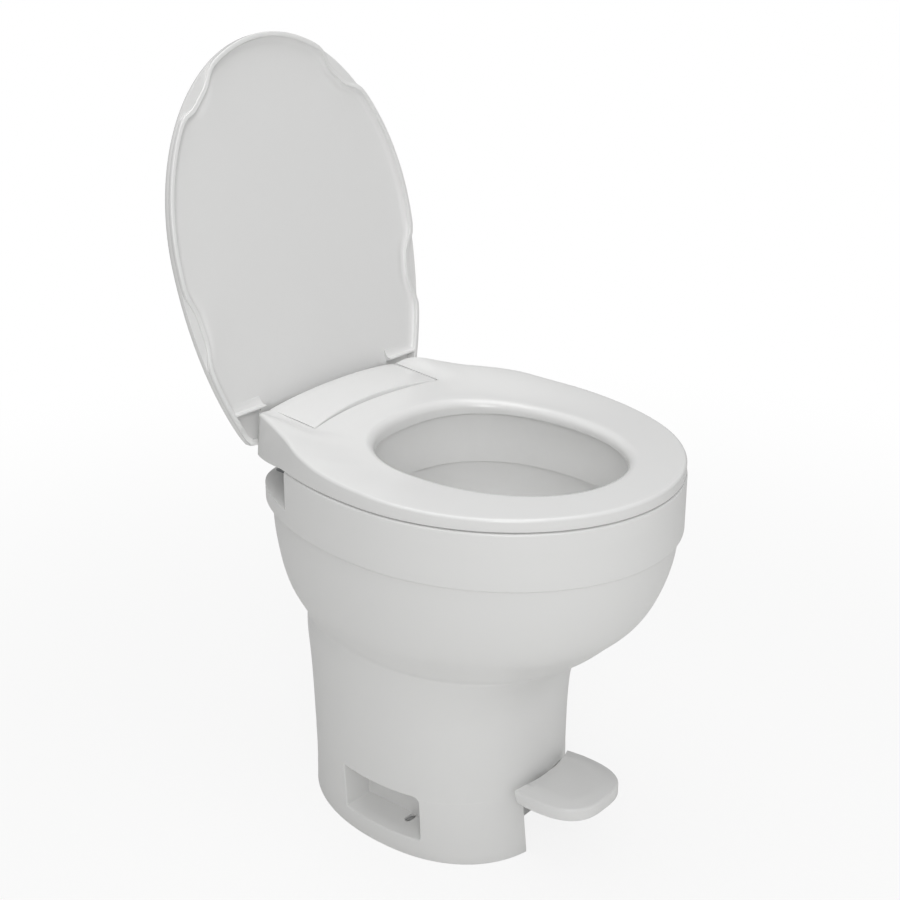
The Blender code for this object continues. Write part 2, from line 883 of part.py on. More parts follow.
def make_bumpers():
    names = ("front_right", "front_left", "rear_right", "rear_left")
    for name, (x, y) in zip(names, bumper_places()):
        low = rim_top + touch_gap
        high = seat_bottom() + bumper_pocket_depth - touch_gap
        bumper = cylinder(f"seat_bumper_{name}", (x, y, 0), "Z", bumper_radius, low, high, "rubber_gray")
        set_pivot(bumper, (0, hinge_y, hinge_z))


def lid_plane(y):
    share = (y - widest_y + lid_front_reach) / (hinge_y - widest_y + lid_front_reach)
    return between(lid_lip_height_front, lid_lip_height_hinge, share)


def scallop(angle):
    """How far the lid's wall bows in at this angle, for the fingers."""
    depth = 0.0
    for place in scallop_angles_degrees:
        for side in (-1, 1):
            away = math.remainder(angle - side * math.radians(place), math.tau)
            depth += scallop_depth * math.exp(-((away / scallop_spread) ** 4))
    return depth


def lid_cut(x):
    """Where the lid ends behind its widest place: less far back at its corners than in the middle."""
    share = (abs(x) - lid_corner_start_x) / (lid_corner_end_x - lid_corner_start_x)
    share = min(max(share, 0.0), 1.0)
    return between(lid_rear_cut, lid_corner_cut, share * share * (3 - 2 * share))


def lid_ring(inset, height_of, scallops=0.0):
    """A ring of the lid, moved in by an inset, its heights worked out from each point's y."""
    ring = []
    for angle in angles(lid_points):
        move = inset + scallops * scallop(angle)
        x, y = oval(angle, lid_half_width - move, lid_front_reach - move, lid_rear_reach - move)
        y = widest_y + soft_limit(y, lid_cut(x) - move, lid_corner_softness)
        ring.append(Vector((x, y, height_of(y))))
    return ring


def lid_level(offset):
    return lambda y: lid_plane(y) + offset


def dome_ring(share, base, offset):
    """A ring inside the lid's outline, at a share of its size, lifted along the dome."""
    middle_y = widest_y + (lid_rear_cut - lid_front_reach) / 2
    rise = base + lid_dome * (1 - share**lid_dome_power)
    ring = []
    for point in lid_ring(offset, lid_level(0.0)):
        y = middle_y + (point.y - middle_y) * share
        ring.append(Vector((point.x * share, y, lid_plane(y) + rise)))
    return ring


def make_lid_ear(side):
    """An arm that reaches from the pin back under the hinge cover and up to the lid's rear edge."""
    low_x, high_x = sorted((side * ear_inner_x, side * (ear_inner_x + ear_thickness)))
    ear = cylinder(f"lid_ear_{side}", (0, hinge_y, hinge_z), "X", ear_radius, low_x, high_x)
    bar_low = (low_x + touch_gap, hinge_y, hinge_z - ear_bar_drop)
    bar_high = (high_x - touch_gap, hinge_y + ear_post_rear, hinge_z + ear_bar_top)
    post_low = (low_x + 2 * touch_gap, hinge_y + ear_post_front, hinge_z - ear_bar_drop + touch_gap)
    post_high = (high_x - 2 * touch_gap, hinge_y + ear_post_rear - touch_gap, hinge_z + ear_post_top)
    join(ear, box(f"ear_bar_{side}", bar_low, bar_high), box(f"ear_post_{side}", post_low, post_high))
    bore = (low_x - overrun, high_x + overrun)
    cut(ear, cylinder(f"ear_bore_{side}", (0, hinge_y, hinge_z), "X", pin_radius + touch_gap, *bore))
    return ear


def make_lid():
    shares = (0.94, 0.75, 0.40)
    inner_edge = lid_lip_overhang + lid_wall
    outer = [dome_ring(share, lid_skin, 0.0) for share in shares]
    inner = [dome_ring(share, -lid_panel_drop, inner_edge) for share in shares]
    rings = [
        *reversed(inner),
        lid_ring(inner_edge + lid_fillet, lid_level(-lid_panel_drop), 1.0),
        lid_ring(inner_edge, lid_level(-lid_panel_drop - lid_fillet), 1.0),
        lid_ring(inner_edge, lid_level(-lid_lip_depth), 1.0),
        lid_ring(lid_lip_overhang, lid_level(-lid_lip_depth), 1.0),
        lid_ring(lid_lip_overhang, lid_level(-lid_skin), 1.0),
        lid_ring(0.0, lid_level(-lid_skin / 2)),
        lid_ring(0.0, lid_level(lid_skin / 2)),
        *outer,
    ]
    lid = loft("lid", rings, "seat_white")
    axis = (0, hinge_y, hinge_z)
    far = rim_half_width + rim_rear_cut
    low = hinge_z - lid_cover_clearance_radius * 2
    center = lid_center_half_width
    reach = lid_arm_clearance_radius
    cut(lid, cylinder("arm_relief", axis, "X", reach, -rim_half_width, rim_half_width, points=relief_points))
    reach = lid_cover_clearance_radius
    cut(lid, cylinder("cover_relief", axis, "X", reach, -center, center, points=relief_points))
    rear_low = (-center, hinge_y + lid_rear_relief_front, low)
    cut(lid, box("rear_relief", rear_low, (center, far, lid_center_bottom)))
    for side in (-1, 1):
        low_x, high_x = sorted((side * lid_bracket_relief_inner_x, side * (center + touch_gap)))
        relief_low = (low_x, hinge_y - lid_bracket_relief_front, low)
        cut(lid, box(f"bracket_relief_{side}", relief_low, (high_x, far, lid_center_bottom + lid_dome)))
        join(lid, make_lid_ear(side))
    set_pivot(lid, axis, -lid_open_degrees)
    return lid


def make_bracket(word, side):
    """A cheek that carries the pin, on a foot that is bolted to the deck."""
    low_x, high_x = sorted((side * (bracket_outer_x - bracket_thickness), side * bracket_outer_x))
    foot_bottom = deck_top + touch_gap
    foot_top = foot_bottom + foot_thickness
    cheek_low = (low_x, hinge_y - bracket_half_depth, foot_bottom)
    cheek_high = (high_x, hinge_y + bracket_half_depth, hinge_z + bracket_half_depth)
    bracket = box(f"hinge_bracket_{word}", cheek_low, cheek_high, "mechanism_gray")
    foot_x = sorted((side * foot_inner_x, side * (bracket_outer_x - touch_gap)))
    foot_low = (foot_x[0], hinge_y - foot_front, foot_bottom)
    foot_high = (foot_x[1], hinge_y + foot_rear, foot_top)
    join(bracket, box(f"foot_{word}", foot_low, foot_high))
    bore = (low_x - overrun, high_x + overrun)
    place = (0, hinge_y, hinge_z)
    cut(bracket, cylinder(f"cheek_bore_{word}", place, "X", pin_radius + touch_gap, *bore))
    bolt_place = (side * hinge_bolt_x, hinge_y, 0)
    hole = (foot_bottom - overrun, foot_top + overrun)
    cut(bracket, cylinder(f"foot_hole_{word}", bolt_place, "Z", hinge_bolt_radius + touch_gap, *hole))
    return foot_top


def make_hinge():
    for side, word in ((-1, "right"), (1, "left")):
        foot_top = make_bracket(word, side)
        pin = sorted((side * (ear_inner_x - touch_gap), side * (pin_end_x() - touch_gap)))
        cylinder(f"hinge_pin_{word}", (0, hinge_y, hinge_z), "X", pin_radius, *pin, "steel")
        place = (side * hinge_bolt_x, hinge_y, 0)
        nut_top = deck_top - deck_thickness - touch_gap
        nut_bottom = nut_top - hinge_nut_height
        head = foot_top + touch_gap
        shank = (nut_bottom - touch_gap * 5, head + touch_gap)
        name = f"hinge_bolt_{word}"
        bolt = cylinder(name, place, "Z", hinge_bolt_radius, *shank, "steel", small_round_points)
        head_top = head + hinge_bolt_head_height
        join(bolt, cylinder(f"bolt_head_{word}", place, "Z", hinge_bolt_head_radius, head, head_top))
        name = f"hinge_nut_{word}"
        nut = cylinder(name, place, "Z", hinge_bolt_head_radius, nut_bottom, nut_top, "steel", hex_points)
        bore = (nut_bottom - overrun, nut_top + overrun)
        cut(nut, cylinder(f"nut_bore_{word}", place, "Z", hinge_bolt_radius + touch_gap, *bore))


def make_hinge_cover():
    """A crowned strip between the seat's arms, sloping to the front, where its edge turns down."""
    stations = 12
    edge = cover_edge_round
    rings = []
    for i in range(stations + 1):
        x = between(-cover_half_width, cover_half_width, i / stations)
        arch = 1 - (x / cover_half_width) ** 2
        front = cover_front_y + cover_front_bow * arch
        front_top = cover_front_height + cover_crown * arch
        rear_top = cover_rear_height + cover_crown * arch
        front_bottom = cover_front_height - cover_front_drop
        rear_bottom = rear_top - cover_thickness - edge
        outline = [
            (front, front_bottom),
            (front, front_top - edge),
            (front + edge * 0.3, front_top - edge * 0.3),
            (front + edge, front_top),
            (cover_rear_y - edge, rear_top),
            (cover_rear_y - edge * 0.3, rear_top - edge * 0.3),
            (cover_rear_y, rear_top - edge),
            (cover_rear_y, rear_bottom),
            (cover_rear_y - edge, rear_bottom),
            (cover_rear_y - edge, rear_top - cover_thickness),
            (front + edge, front_top - cover_thickness),
            (front + edge, front_bottom),
        ]
        rings.append([Vector((x, y, z)) for y, z in outline])
    cover = loft("hinge_cover", rings, "seat_white")
    rib_bottom = hinge_z + bracket_half_depth + touch_gap
    rib_top = cover_front_height + cover_thickness
    for side in (-1, 1):
        rib_outer = bracket_outer_x - edge
        low_x, high_x = sorted((side * (rib_outer - cover_rib_width), side * rib_outer))
        low = (low_x, hinge_y - bracket_half_depth, rib_bottom)
        high = (high_x, hinge_y + bracket_half_depth, rib_top)
        join(cover, box(f"cover_rib_{side}", low, high))
    return cover


def gear_outline(teeth, center, first_tooth, last_tooth, phase):
    """Points of a gear's toothed arc in (y, z), tooth by tooth, with involute flanks."""
    pitch = gear_module * teeth / 2
    pressure = math.radians(gear_pressure_degrees)
    base = pitch * math.cos(pressure)
    tip = pitch + gear_addendum_share * gear_module
    root = pitch - gear_dedendum_share * gear_module
    half = math.pi / (2 * teeth) - gear_backlash / (2 * pitch)
    involute = math.tan(pressure) - pressure
    flank = []
    steps = 2
    low = max(base, root)
    for i in range(steps + 1):
        radius = between(low, tip, i / steps)
        angle = math.acos(min(base / radius, 1.0))
        flank.append((radius, half + involute - (math.tan(angle) - angle)))
    points = []
    for tooth in range(first_tooth, last_tooth + 1):
        middle = math.tau * tooth / teeth + phase
        if root < base:
            points.append((root, middle - flank[0][1]))
        points += [(radius, middle - away) for radius, away in flank]
        points += [(radius, middle + away) for radius, away in reversed(flank)]
        if root < base:
            points.append((root, middle + flank[0][1]))
    return [(center[0] + r * math.cos(a), center[1] + r * math.sin(a)) for r, a in points]


def make_ball():
    center = (0, throat_y, ball_height)
    bm = bmesh.new()
    bmesh.ops.create_uvsphere(bm, u_segments=sphere_around, v_segments=sphere_up, radius=ball_radius)
    bmesh.ops.translate(bm, vec=center, verts=bm.verts)
    ball = object_from("waste_ball", bm, "mechanism_gray")
    bm = bmesh.new()
    inner_radius = ball_radius - ball_thickness
    bmesh.ops.create_uvsphere(bm, u_segments=sphere_around, v_segments=sphere_up, radius=inner_radius)
    bmesh.ops.translate(bm, vec=center, verts=bm.verts)
    hollow = object_from("ball_hollow", bm, None)
    reach = ball_radius + overrun
    cap_bottom = ball_height + ball_radius * math.cos(math.radians(ball_cap_degrees))
    cap_low = (-reach, throat_y - reach, cap_bottom)
    cap = box("ball_cap_zone", cap_low, (reach, throat_y + reach, ball_height + reach))
    strap_low = (-reach, throat_y - ball_strap_half_width, ball_height - ball_strap_half_width)
    strap_high = (reach, throat_y + ball_strap_half_width, cap_bottom + overrun)
    join(cap, box("ball_strap_zone", strap_low, strap_high))
    cut(ball, hollow)
    keep(ball, cap)
    inside = ball_radius - ball_thickness - overrun
    shaft = (0, throat_y, ball_height)
    join(ball, cylinder("ball_shaft_left_rod", shaft, "X", ball_shaft_radius, ball_shaft_left, -inside))
    join(ball, cylinder("ball_shaft_right_rod", shaft, "X", ball_shaft_radius, inside, ball_shaft_right))
    set_pivot(ball, center)
    phase = math.pi + math.pi / pinion_teeth
    outline = gear_outline(pinion_teeth, (throat_y, ball_height), 0, pinion_teeth - 1, phase)
    pinion = prism("drive_pinion", outline, gear_inner_x, gear_inner_x + gear_width, "mechanism_gray")
    bore = (gear_inner_x - overrun, gear_inner_x + gear_width + overrun)
    cut(pinion, cylinder("pinion_bore", shaft, "X", ball_shaft_radius + touch_gap, *bore))
    set_pivot(pinion, center)


def make_housing():
    outer = housing_radius
    plate_bottom = floor_top + touch_gap
    plate_top = plate_bottom + housing_plate_height
    profile = [
        (spigot_bore, spigot_bottom),
        (spigot_radius, spigot_bottom),
        (spigot_radius, plate_bottom),
        (housing_plate_radius, plate_bottom),
        (housing_plate_radius, plate_top),
        (outer, plate_top),
        (outer, housing_top - housing_flange_height),
        (housing_flange_radius, housing_top - housing_flange_height),
        (housing_flange_radius, housing_top),
        (seal_recess_radius, housing_top),
        (seal_recess_radius, seal_recess_bottom),
    ]
    top_angle = math.asin((chamber_mouth_height - ball_height) / chamber_radius)
    bottom_angle = -math.acos(spigot_bore / chamber_radius)
    steps = 8
    for i in range(steps + 1):
        angle = between(top_angle, bottom_angle, i / steps)
        profile.append((chamber_radius * math.cos(angle), ball_height + chamber_radius * math.sin(angle)))
    housing = turned("mechanism_housing", profile, (0, throat_y, 0), "Z", "mechanism_gray")
    shaft = (0, throat_y, ball_height)
    reach = housing_radius + overrun
    cut(housing, cylinder("shaft_bore", shaft, "X", ball_shaft_radius + touch_gap, -reach, reach))
    left = hub_left_x - lug_gap
    right = hub_right_x + lug_gap
    lug_rear = throat_y - housing_radius + overrun
    lug_low = (left - lug_thickness, lug_front_y, plate_bottom)
    lug_left = box("lug_left", lug_low, (left, lug_rear, lug_top))
    tie_low = (left - lug_thickness / 2, lug_front_y + touch_gap, plate_bottom + touch_gap)
    tie_high = (right + lug_thickness / 2, lug_rear - touch_gap, plate_top - touch_gap)
    lug_high = (right + lug_thickness, lug_rear - 2 * touch_gap, lug_top)
    lug_right = box("lug_right", (right, lug_front_y, plate_bottom), lug_high)
    join(housing, lug_left, box("lug_tie", tie_low, tie_high), lug_right)
    pin = (0, pedal_pivot_y, ball_height)
    bore_low = left - lug_thickness - overrun
    bore_high = right + lug_thickness + overrun
    cut(housing, cylinder("pivot_bore", pin, "X", pivot_pin_radius + touch_gap, bore_low, bore_high))
    hole = (plate_bottom - overrun, plate_top + overrun)
    cut(housing, *screw_holes("plate_hole", housing_screw_places(), *hole))
    pin_low = left - lug_thickness - touch_gap * 5
    pin_high = right + lug_thickness + touch_gap * 5
    cylinder("pedal_pivot_pin", pin, "X", pivot_pin_radius, pin_low, pin_high, "steel")
    for i, (x, y) in enumerate(housing_screw_places()):
        make_screw(f"housing_screw_{i + 1}", (x, y), plate_top + touch_gap, plate_top - floor_bottom)


def make_screw(name, place, head_bottom, length, finish="steel"):
    """An upright screw, its head's underside at the given height."""
    center = (*place, 0)
    shank = (head_bottom - length, head_bottom + touch_gap)
    screw = cylinder(name, center, "Z", screw_radius, *shank, finish, small_round_points)
    head_top = head_bottom + screw_head_height
    head = cylinder(f"{name}_head", center, "Z", screw_head_radius, head_bottom, head_top)
    join(screw, head)
    return screw


def make_seals():
    lip = math.radians(seal_lip_degrees)
    lip_radius = ball_radius + touch_gap
    outer = seal_recess_radius - touch_gap
    bottom = seal_recess_bottom + touch_gap
    top = housing_top - touch_gap * 5
    profile = [
        (outer, bottom),
        (outer, top),
        (throat_radius * 0.93, top),
        (lip_radius * math.sin(lip), ball_height + lip_radius * math.cos(lip)),
        (chamber_radius * math.sin(lip) + touch_gap * 14, bottom),
    ]
    turned("bowl_seal", profile, (0, throat_y, 0), "Z", "seal_black")
    inner = spigot_radius + touch_gap
    floor = touch_gap
    top = floor_bottom - touch_gap
    ring = [(inner, floor), (flange_seal_outer, floor), (flange_seal_outer, top), (inner, top)]
    turned("flange_seal", ring, (0, throat_y, 0), "Z", "seal_black")
    web_inner = housing_flange_radius + touch_gap
    web_outer = web_inner + ring_web
    low_lip = housing_top - housing_flange_height - touch_gap
    high_lip = housing_top + throat_flange_height + touch_gap * 2
    clamp = [
        (web_outer, low_lip - ring_lip),
        (web_outer, high_lip + ring_lip),
        (ring_top_inner_radius, high_lip + ring_lip),
        (ring_top_inner_radius, high_lip),
        (web_inner, high_lip),
        (web_inner, low_lip),
        (ring_bottom_inner_radius, low_lip),
        (ring_bottom_inner_radius, low_lip - ring_lip),
    ]
    turned("retaining_ring", clamp, (0, throat_y, 0), "Z", "mechanism_gray")


def make_pedal_arm():
    pivot = (0, pedal_pivot_y, ball_height)
    arm = cylinder("pedal_arm", pivot, "X", hub_radius, hub_left_x, hub_right_x, "mechanism_gray")
    lever_low = (-lever_half_width, lever_front_y, lever_bottom)
    lever_high = (lever_half_width, pedal_pivot_y, lever_top)
    tongue_low = (-lever_half_width + touch_gap, tongue_front_y, tongue_bottom)
    tongue_high = (lever_half_width - touch_gap, lever_front_y + overrun, tongue_top)
    wing_low = (wing_left_x, wing_front_y, wing_bottom)
    wing_high = (-lever_half_width + overrun, wing_rear_y, wing_top)
    join(arm, box("lever", lever_low, lever_high), box("tongue", tongue_low, tongue_high))
    join(arm, box("wing", wing_low, wing_high))
    center = (pedal_pivot_y, ball_height)
    teeth = gear_outline(sector_teeth_full, center, sector_first_tooth, sector_last_tooth, 0.0)
    hub_side = hub_radius * 0.6
    web = [(pedal_pivot_y, ball_height + hub_side), (pedal_pivot_y, ball_height - hub_side)]
    sector = prism("sector", [*web, *teeth], gear_inner_x, gear_inner_x + gear_width)
    join(arm, sector)
    bore = (hub_left_x - overrun, hub_right_x + overrun)
    cut(arm, cylinder("arm_bore", pivot, "X", pivot_pin_radius + touch_gap, *bore))
    places = [(side * pad_screw_x, pad_screw_y) for side in (-1, 1)]
    cut(arm, *screw_holes("tongue_hole", places, tongue_bottom - overrun, tongue_top + overrun))
    set_pivot(arm, pivot)
    return arm


def wall_front_y(x):
    """The front of the pedestal's base at this place across it."""
    power = column_front_power
    return base_center_y - base_front_reach * (1 - abs(x / base_half_width) ** power) ** (1 / power)


def pad_ring(height, inset, undercut):
    """The half-moon: an arc in front, and behind it a line that follows the column's wall."""
    half = pad_half_width - inset
    arc_points = 26
    back_points = 13
    reach = pad_corner_y - pad_front_y - inset
    power = 2 / pad_power
    ring = []
    for i in range(arc_points):
        angle = math.pi * (i + 0.5) / arc_points
        x = half * math.copysign(abs(math.cos(angle)) ** power, math.cos(angle))
        ring.append(Vector((x, pad_corner_y - reach * math.sin(angle) ** power, height)))
    for i in range(back_points):
        x = between(-half * 0.97, half * 0.97, i / (back_points - 1))
        ring.append(Vector((x, wall_front_y(x) - pad_wall_gap - inset - undercut, height)))
    return ring


def make_pedal_pad():
    top = pad_bottom + pad_edge_height
    edge = pad_edge_round
    rings = [
        pad_ring(pad_bottom, edge, pad_undercut - edge),
        pad_ring(pad_bottom + edge, 0.0, pad_undercut * 0.8),
        pad_ring(top, 0.0, 0.0),
        pad_ring(top + pad_crown * 0.5, edge, 0.0),
        pad_ring(top + pad_crown, edge * 4, 0.0),
    ]
    pad = loft("pedal_pad", rings, "seat_white")
    places = [(side * pad_screw_x, pad_screw_y) for side in (-1, 1)]
    depth = tongue_bottom + pad_screw_length + touch_gap
    cut(pad, *screw_holes("pad_hole", places, pad_bottom - overrun, depth))
    set_pivot(pad, (0, pedal_pivot_y, ball_height))
    for word, (x, y) in zip(("right", "left"), places):
        head_top = tongue_bottom - touch_gap
        shank = (head_top - touch_gap, head_top + pad_screw_length)
        name = f"pad_screw_{word}"
        screw = cylinder(name, (x, y, 0), "Z", screw_radius, *shank, "steel", small_round_points)
        head_low = head_top - screw_head_height
        head = cylinder(f"{name}_head", (x, y, 0), "Z", screw_head_radius, head_low, head_top)
        join(screw, head)
        set_pivot(screw, (0, pedal_pivot_y, ball_height))


def tube(name, points, radius, finish, resolution):
    curve = bpy.data.curves.new(name, "CURVE")
    curve.dimensions = "3D"
    curve.bevel_depth = radius
    curve.bevel_resolution = resolution
    curve.use_fill_caps = True
    spline = curve.splines.new("POLY")
    spline.points.add(len(points) - 1)
    for target, point in zip(spline.points, points):
        target.co = (*point, 1.0)
    obj = bpy.data.objects.new(name, curve)
    bpy.context.collection.objects.link(obj)
    curve.materials.append(finish_material(name, finish))
    return obj


def smooth_route(corners, count):
    """Points along a Catmull-Rom curve through the route's own points."""
    ends = [corners[0] * 2 - corners[1], *corners, corners[-1] * 2 - corners[-2]]
    points = []
    for i in range(count):
        place = (len(corners) - 1) * i / (count - 1)
        k = min(int(place), len(corners) - 2)
        t = place - k
        a, b, c, d = ends[k : k + 4]
        square = 2 * a - 5 * b + 4 * c - d
        cube = 3 * b - a - 3 * c + d
        points.append((2 * b + (c - a) * t + square * t**2 + cube * t**3) / 2)
    return points


def coil(name, center, radius, wire, low, high, turns, finish):
    """An upright helical spring between two heights."""
    per_turn = 7
    count = turns * per_turn
    points = []
    for i in range(count + 1):
        angle = math.tau * i / per_turn
        height = between(low + wire, high - wire, i / count)
        x = center[0] + radius * math.cos(angle)
        y = center[1] + radius * math.sin(angle)
        points.append(Vector((x, y, height)))
    return tube(name, points, wire, finish, 1)


def make_springs():
    low = floor_top + touch_gap
    high = lever_bottom - touch_gap
    place = (0, return_spring_y)
    name = "pedal_return_spring"
    coil(name, place, return_spring_radius, return_spring_wire, low, high, return_spring_turns, "steel")
    low = valve_top + touch_gap
    high = wing_bottom - touch_gap - plunger_head_height - touch_gap
    place = (valve_x, valve_y)
    name = "valve_spring"
    coil(name, place, valve_spring_radius, valve_spring_wire, low, high, valve_spring_turns, "steel")


def make_water_valve():
    bottom = floor_top + touch_gap
    head_top = wing_bottom - touch_gap
    rod_bottom = head_top - plunger_depth
    place = (valve_x, valve_y, 0)
    body = cylinder("water_valve_body", place, "Z", valve_radius, bottom, valve_top, "valve_blue_gray")
    port_start = valve_y + plunger_radius + hose_radius / 2
    port_end = valve_y + valve_radius + overrun
    ports = (("outlet_port", flush_port_height, hose_radius), ("inlet_port", inlet_port_height, feed_radius))
    for name, height, bore in ports:
        join(body, cylinder(name, (valve_x, 0, height), "Y", bore * 0.9, port_start, port_end))
    bore = (rod_bottom - plunger_travel - touch_gap * 2, valve_top + overrun)
    cut(body, cylinder("plunger_bore", place, "Z", plunger_radius + touch_gap, *bore))
    rod = (rod_bottom, head_top - plunger_head_height / 2)
    plunger = cylinder("valve_plunger", place, "Z", plunger_radius, *rod, "mechanism_gray")
    head_low = head_top - plunger_head_height
    join(plunger, cylinder("plunger_head", place, "Z", plunger_head_radius, head_low, head_top))
    return body


def make_vacuum_breaker():
    center = (0, breaker_y, 0)
    flange_bottom = deck_top + touch_gap
    flange_top = flange_bottom + breaker_flange_height
    nipple_bottom = breaker_bottom - breaker_nipple_length
    profile = [
        (breaker_nipple_radius * 0.5, nipple_bottom),
        (breaker_nipple_radius, nipple_bottom),
        (breaker_nipple_radius, breaker_bottom),
        (breaker_radius, breaker_bottom),
        (breaker_radius, flange_bottom),
        (breaker_flange_radius, flange_bottom),
        (breaker_flange_radius, flange_top),
        (breaker_bore, flange_top),
        (breaker_bore, breaker_floor),
        (breaker_nipple_radius * 0.5, breaker_floor),
    ]
    body = turned("vacuum_breaker_body", profile, center, "Z", "valve_blue_gray")
    nozzle = (0, 0, nozzle_height)
    outlet = (breaker_y - 2 * breaker_radius, breaker_y - breaker_bore + overrun / 2)
    cut(body, cylinder("breaker_outlet", nozzle, "Y", nozzle_tail_radius * 0.7, *outlet))
    cap_bottom = flange_top + touch_gap
    cap_top = cap_bottom + breaker_cap_height
    skin = breaker_flange_height
    cap = [
        (breaker_cap_radius, cap_bottom),
        (breaker_cap_radius, cap_top - skin),
        (breaker_cap_radius - skin, cap_top),
        (breaker_nipple_radius * 0.4, cap_top),
        (breaker_nipple_radius * 0.4, cap_top - skin),
        (breaker_bore, cap_top - skin),
        (breaker_bore, cap_bottom),
    ]
    turned("vacuum_breaker_cap", cap, center, "Z", "valve_blue_gray")
    float_low = breaker_floor + touch_gap
    float_high = float_low + float_height
    radius = breaker_bore - float_clearance
    name = "vacuum_breaker_float"
    cylinder(name, center, "Z", radius, float_low, float_high, "rubber_gray", turned_points)


def nozzle_wall_y():
    """The bowl's rear wall at the nozzle's height, on its inner side."""
    share = (nozzle_height - throat_top()) / (rim_inner_bottom - throat_top())
    upper, lower = funnel_shares[0], funnel_shares[1]
    mix = (upper[0] - share) / (upper[0] - lower[0])
    row = [between(a, b, mix) for a, b in zip(upper, lower)]
    rear = between(bore_rear_reach * row[1], throat_radius, row[2] * 0.35)
    return between(bore_center_y, throat_y, row[2]) + rear


def make_nozzle():
    wall = nozzle_wall_y()
    face = wall - touch_gap * 4
    tail_end = breaker_y - breaker_radius - touch_gap
    profile = [
        (nozzle_tail_radius * 0.5, face - nozzle_face_thickness),
        (nozzle_face_radius * 0.8, face - nozzle_face_thickness),
        (nozzle_face_radius, face - nozzle_face_thickness / 2),
        (nozzle_face_radius, face),
        (nozzle_tail_radius, face),
        (nozzle_tail_radius, tail_end),
        (nozzle_tail_radius * 0.5, tail_end),
    ]
    turned("rim_nozzle", profile, (0, 0, nozzle_height), "Y", "mechanism_gray", round_points)


def make_inlet():
    rear_wall = base_center_y + base_rear_reach
    inner_face = rear_wall - shell_wall - inlet_wall_setback
    flange = inner_face - inlet_flange_thickness
    nipple = flange - overrun * 2
    profile = [
        (hose_radius * 0.5, nipple),
        (hose_radius, nipple),
        (hose_radius, flange),
        (inlet_flange_radius, flange),
        (inlet_flange_radius, inner_face),
        (inlet_radius, inner_face),
        (inlet_radius, rear_wall + inlet_outside_length),
        (hose_radius * 0.5, rear_wall + inlet_outside_length),
    ]
    turned("water_inlet_fitting", profile, (0, 0, inlet_height), "Y", "brass", round_points)
    return nipple


def make_hoses(inlet_nipple_y):
    start_y = valve_y + valve_radius + overrun + hose_end_gap
    housing_rear = throat_y + housing_radius
    lane_x = -(housing_plate_radius + feed_radius + touch_gap * 4)
    flush_x = lane_x + feed_radius * 0.6
    under = breaker_bottom - breaker_nipple_length - hose_end_gap
    flush = [
        Vector((valve_x, start_y, flush_port_height)),
        Vector((valve_x, start_y + hose_straight, flush_port_height)),
        Vector((flush_x, throat_y - housing_radius * 0.8, flush_lane_height)),
        Vector((flush_x, throat_y, flush_lane_height)),
        Vector((flush_x, housing_rear, flush_lane_height * 1.4)),
        Vector((flush_x * 0.9, housing_rear + hose_radius * 4, under * 0.34)),
        Vector((flush_x * 0.6, breaker_y, under * 0.60)),
        Vector((flush_x * 0.15, breaker_y, under * 0.83)),
        Vector((0, breaker_y, under - hose_straight * 2)),
        Vector((0, breaker_y, under - hose_straight)),
        Vector((0, breaker_y, under)),
    ]
    tube("flush_hose", smooth_route(flush, 34), hose_radius, "hose_gray", 2)
    feed = [
        Vector((valve_x, start_y, inlet_port_height)),
        Vector((valve_x, start_y + hose_straight, inlet_port_height)),
        Vector((lane_x, throat_y - housing_radius * 0.8, inlet_port_height)),
        Vector((lane_x, throat_y, inlet_port_height)),
        Vector((lane_x, throat_y + housing_radius * 0.6, inlet_port_height)),
        Vector((lane_x * 0.86, housing_rear + feed_radius * 3, inlet_port_height * 1.1)),
        Vector((lane_x * 0.4, inlet_nipple_y - feed_radius * 9, inlet_height * 0.8)),
        Vector((0, inlet_nipple_y - 2 * hose_straight, inlet_height)),
        Vector((0, inlet_nipple_y - hose_straight, inlet_height)),
        Vector((0, inlet_nipple_y - hose_end_gap, inlet_height)),
    ]
    tube("inlet_hose", smooth_route(feed, 30), feed_radius, "hose_gray", 2)


def main():
    clear_scene()
    make_pedestal_shell()
    make_bowl()
    make_seat_ring()
    make_bumpers()
    make_lid()
    make_hinge()
    make_hinge_cover()
    make_ball()
    make_housing()
    make_seals()
    make_pedal_arm()
    make_pedal_pad()
    make_springs()
    make_water_valve()
    make_vacuum_breaker()
    make_nozzle()
    make_hoses(make_inlet())
    for word, place in zip(("right", "left"), deck_screw_places()):
        make_screw(f"deck_screw_{word}", place, deck_top + touch_gap, deck_screw_length)


main()
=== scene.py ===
"""RV toilet in a plain pale studio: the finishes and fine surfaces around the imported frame.

Metres, +Z up. The sitter faces -Y and +X is the sitter's left. Every moulding is drawn ring by ring, the way
its tool would be cut, and rides on the body of the solid that it stands for.
"""

import json
import logging
import math
from dataclasses import dataclass
from enum import Enum

import bmesh
import bpy
from mathutils import Matrix, Vector

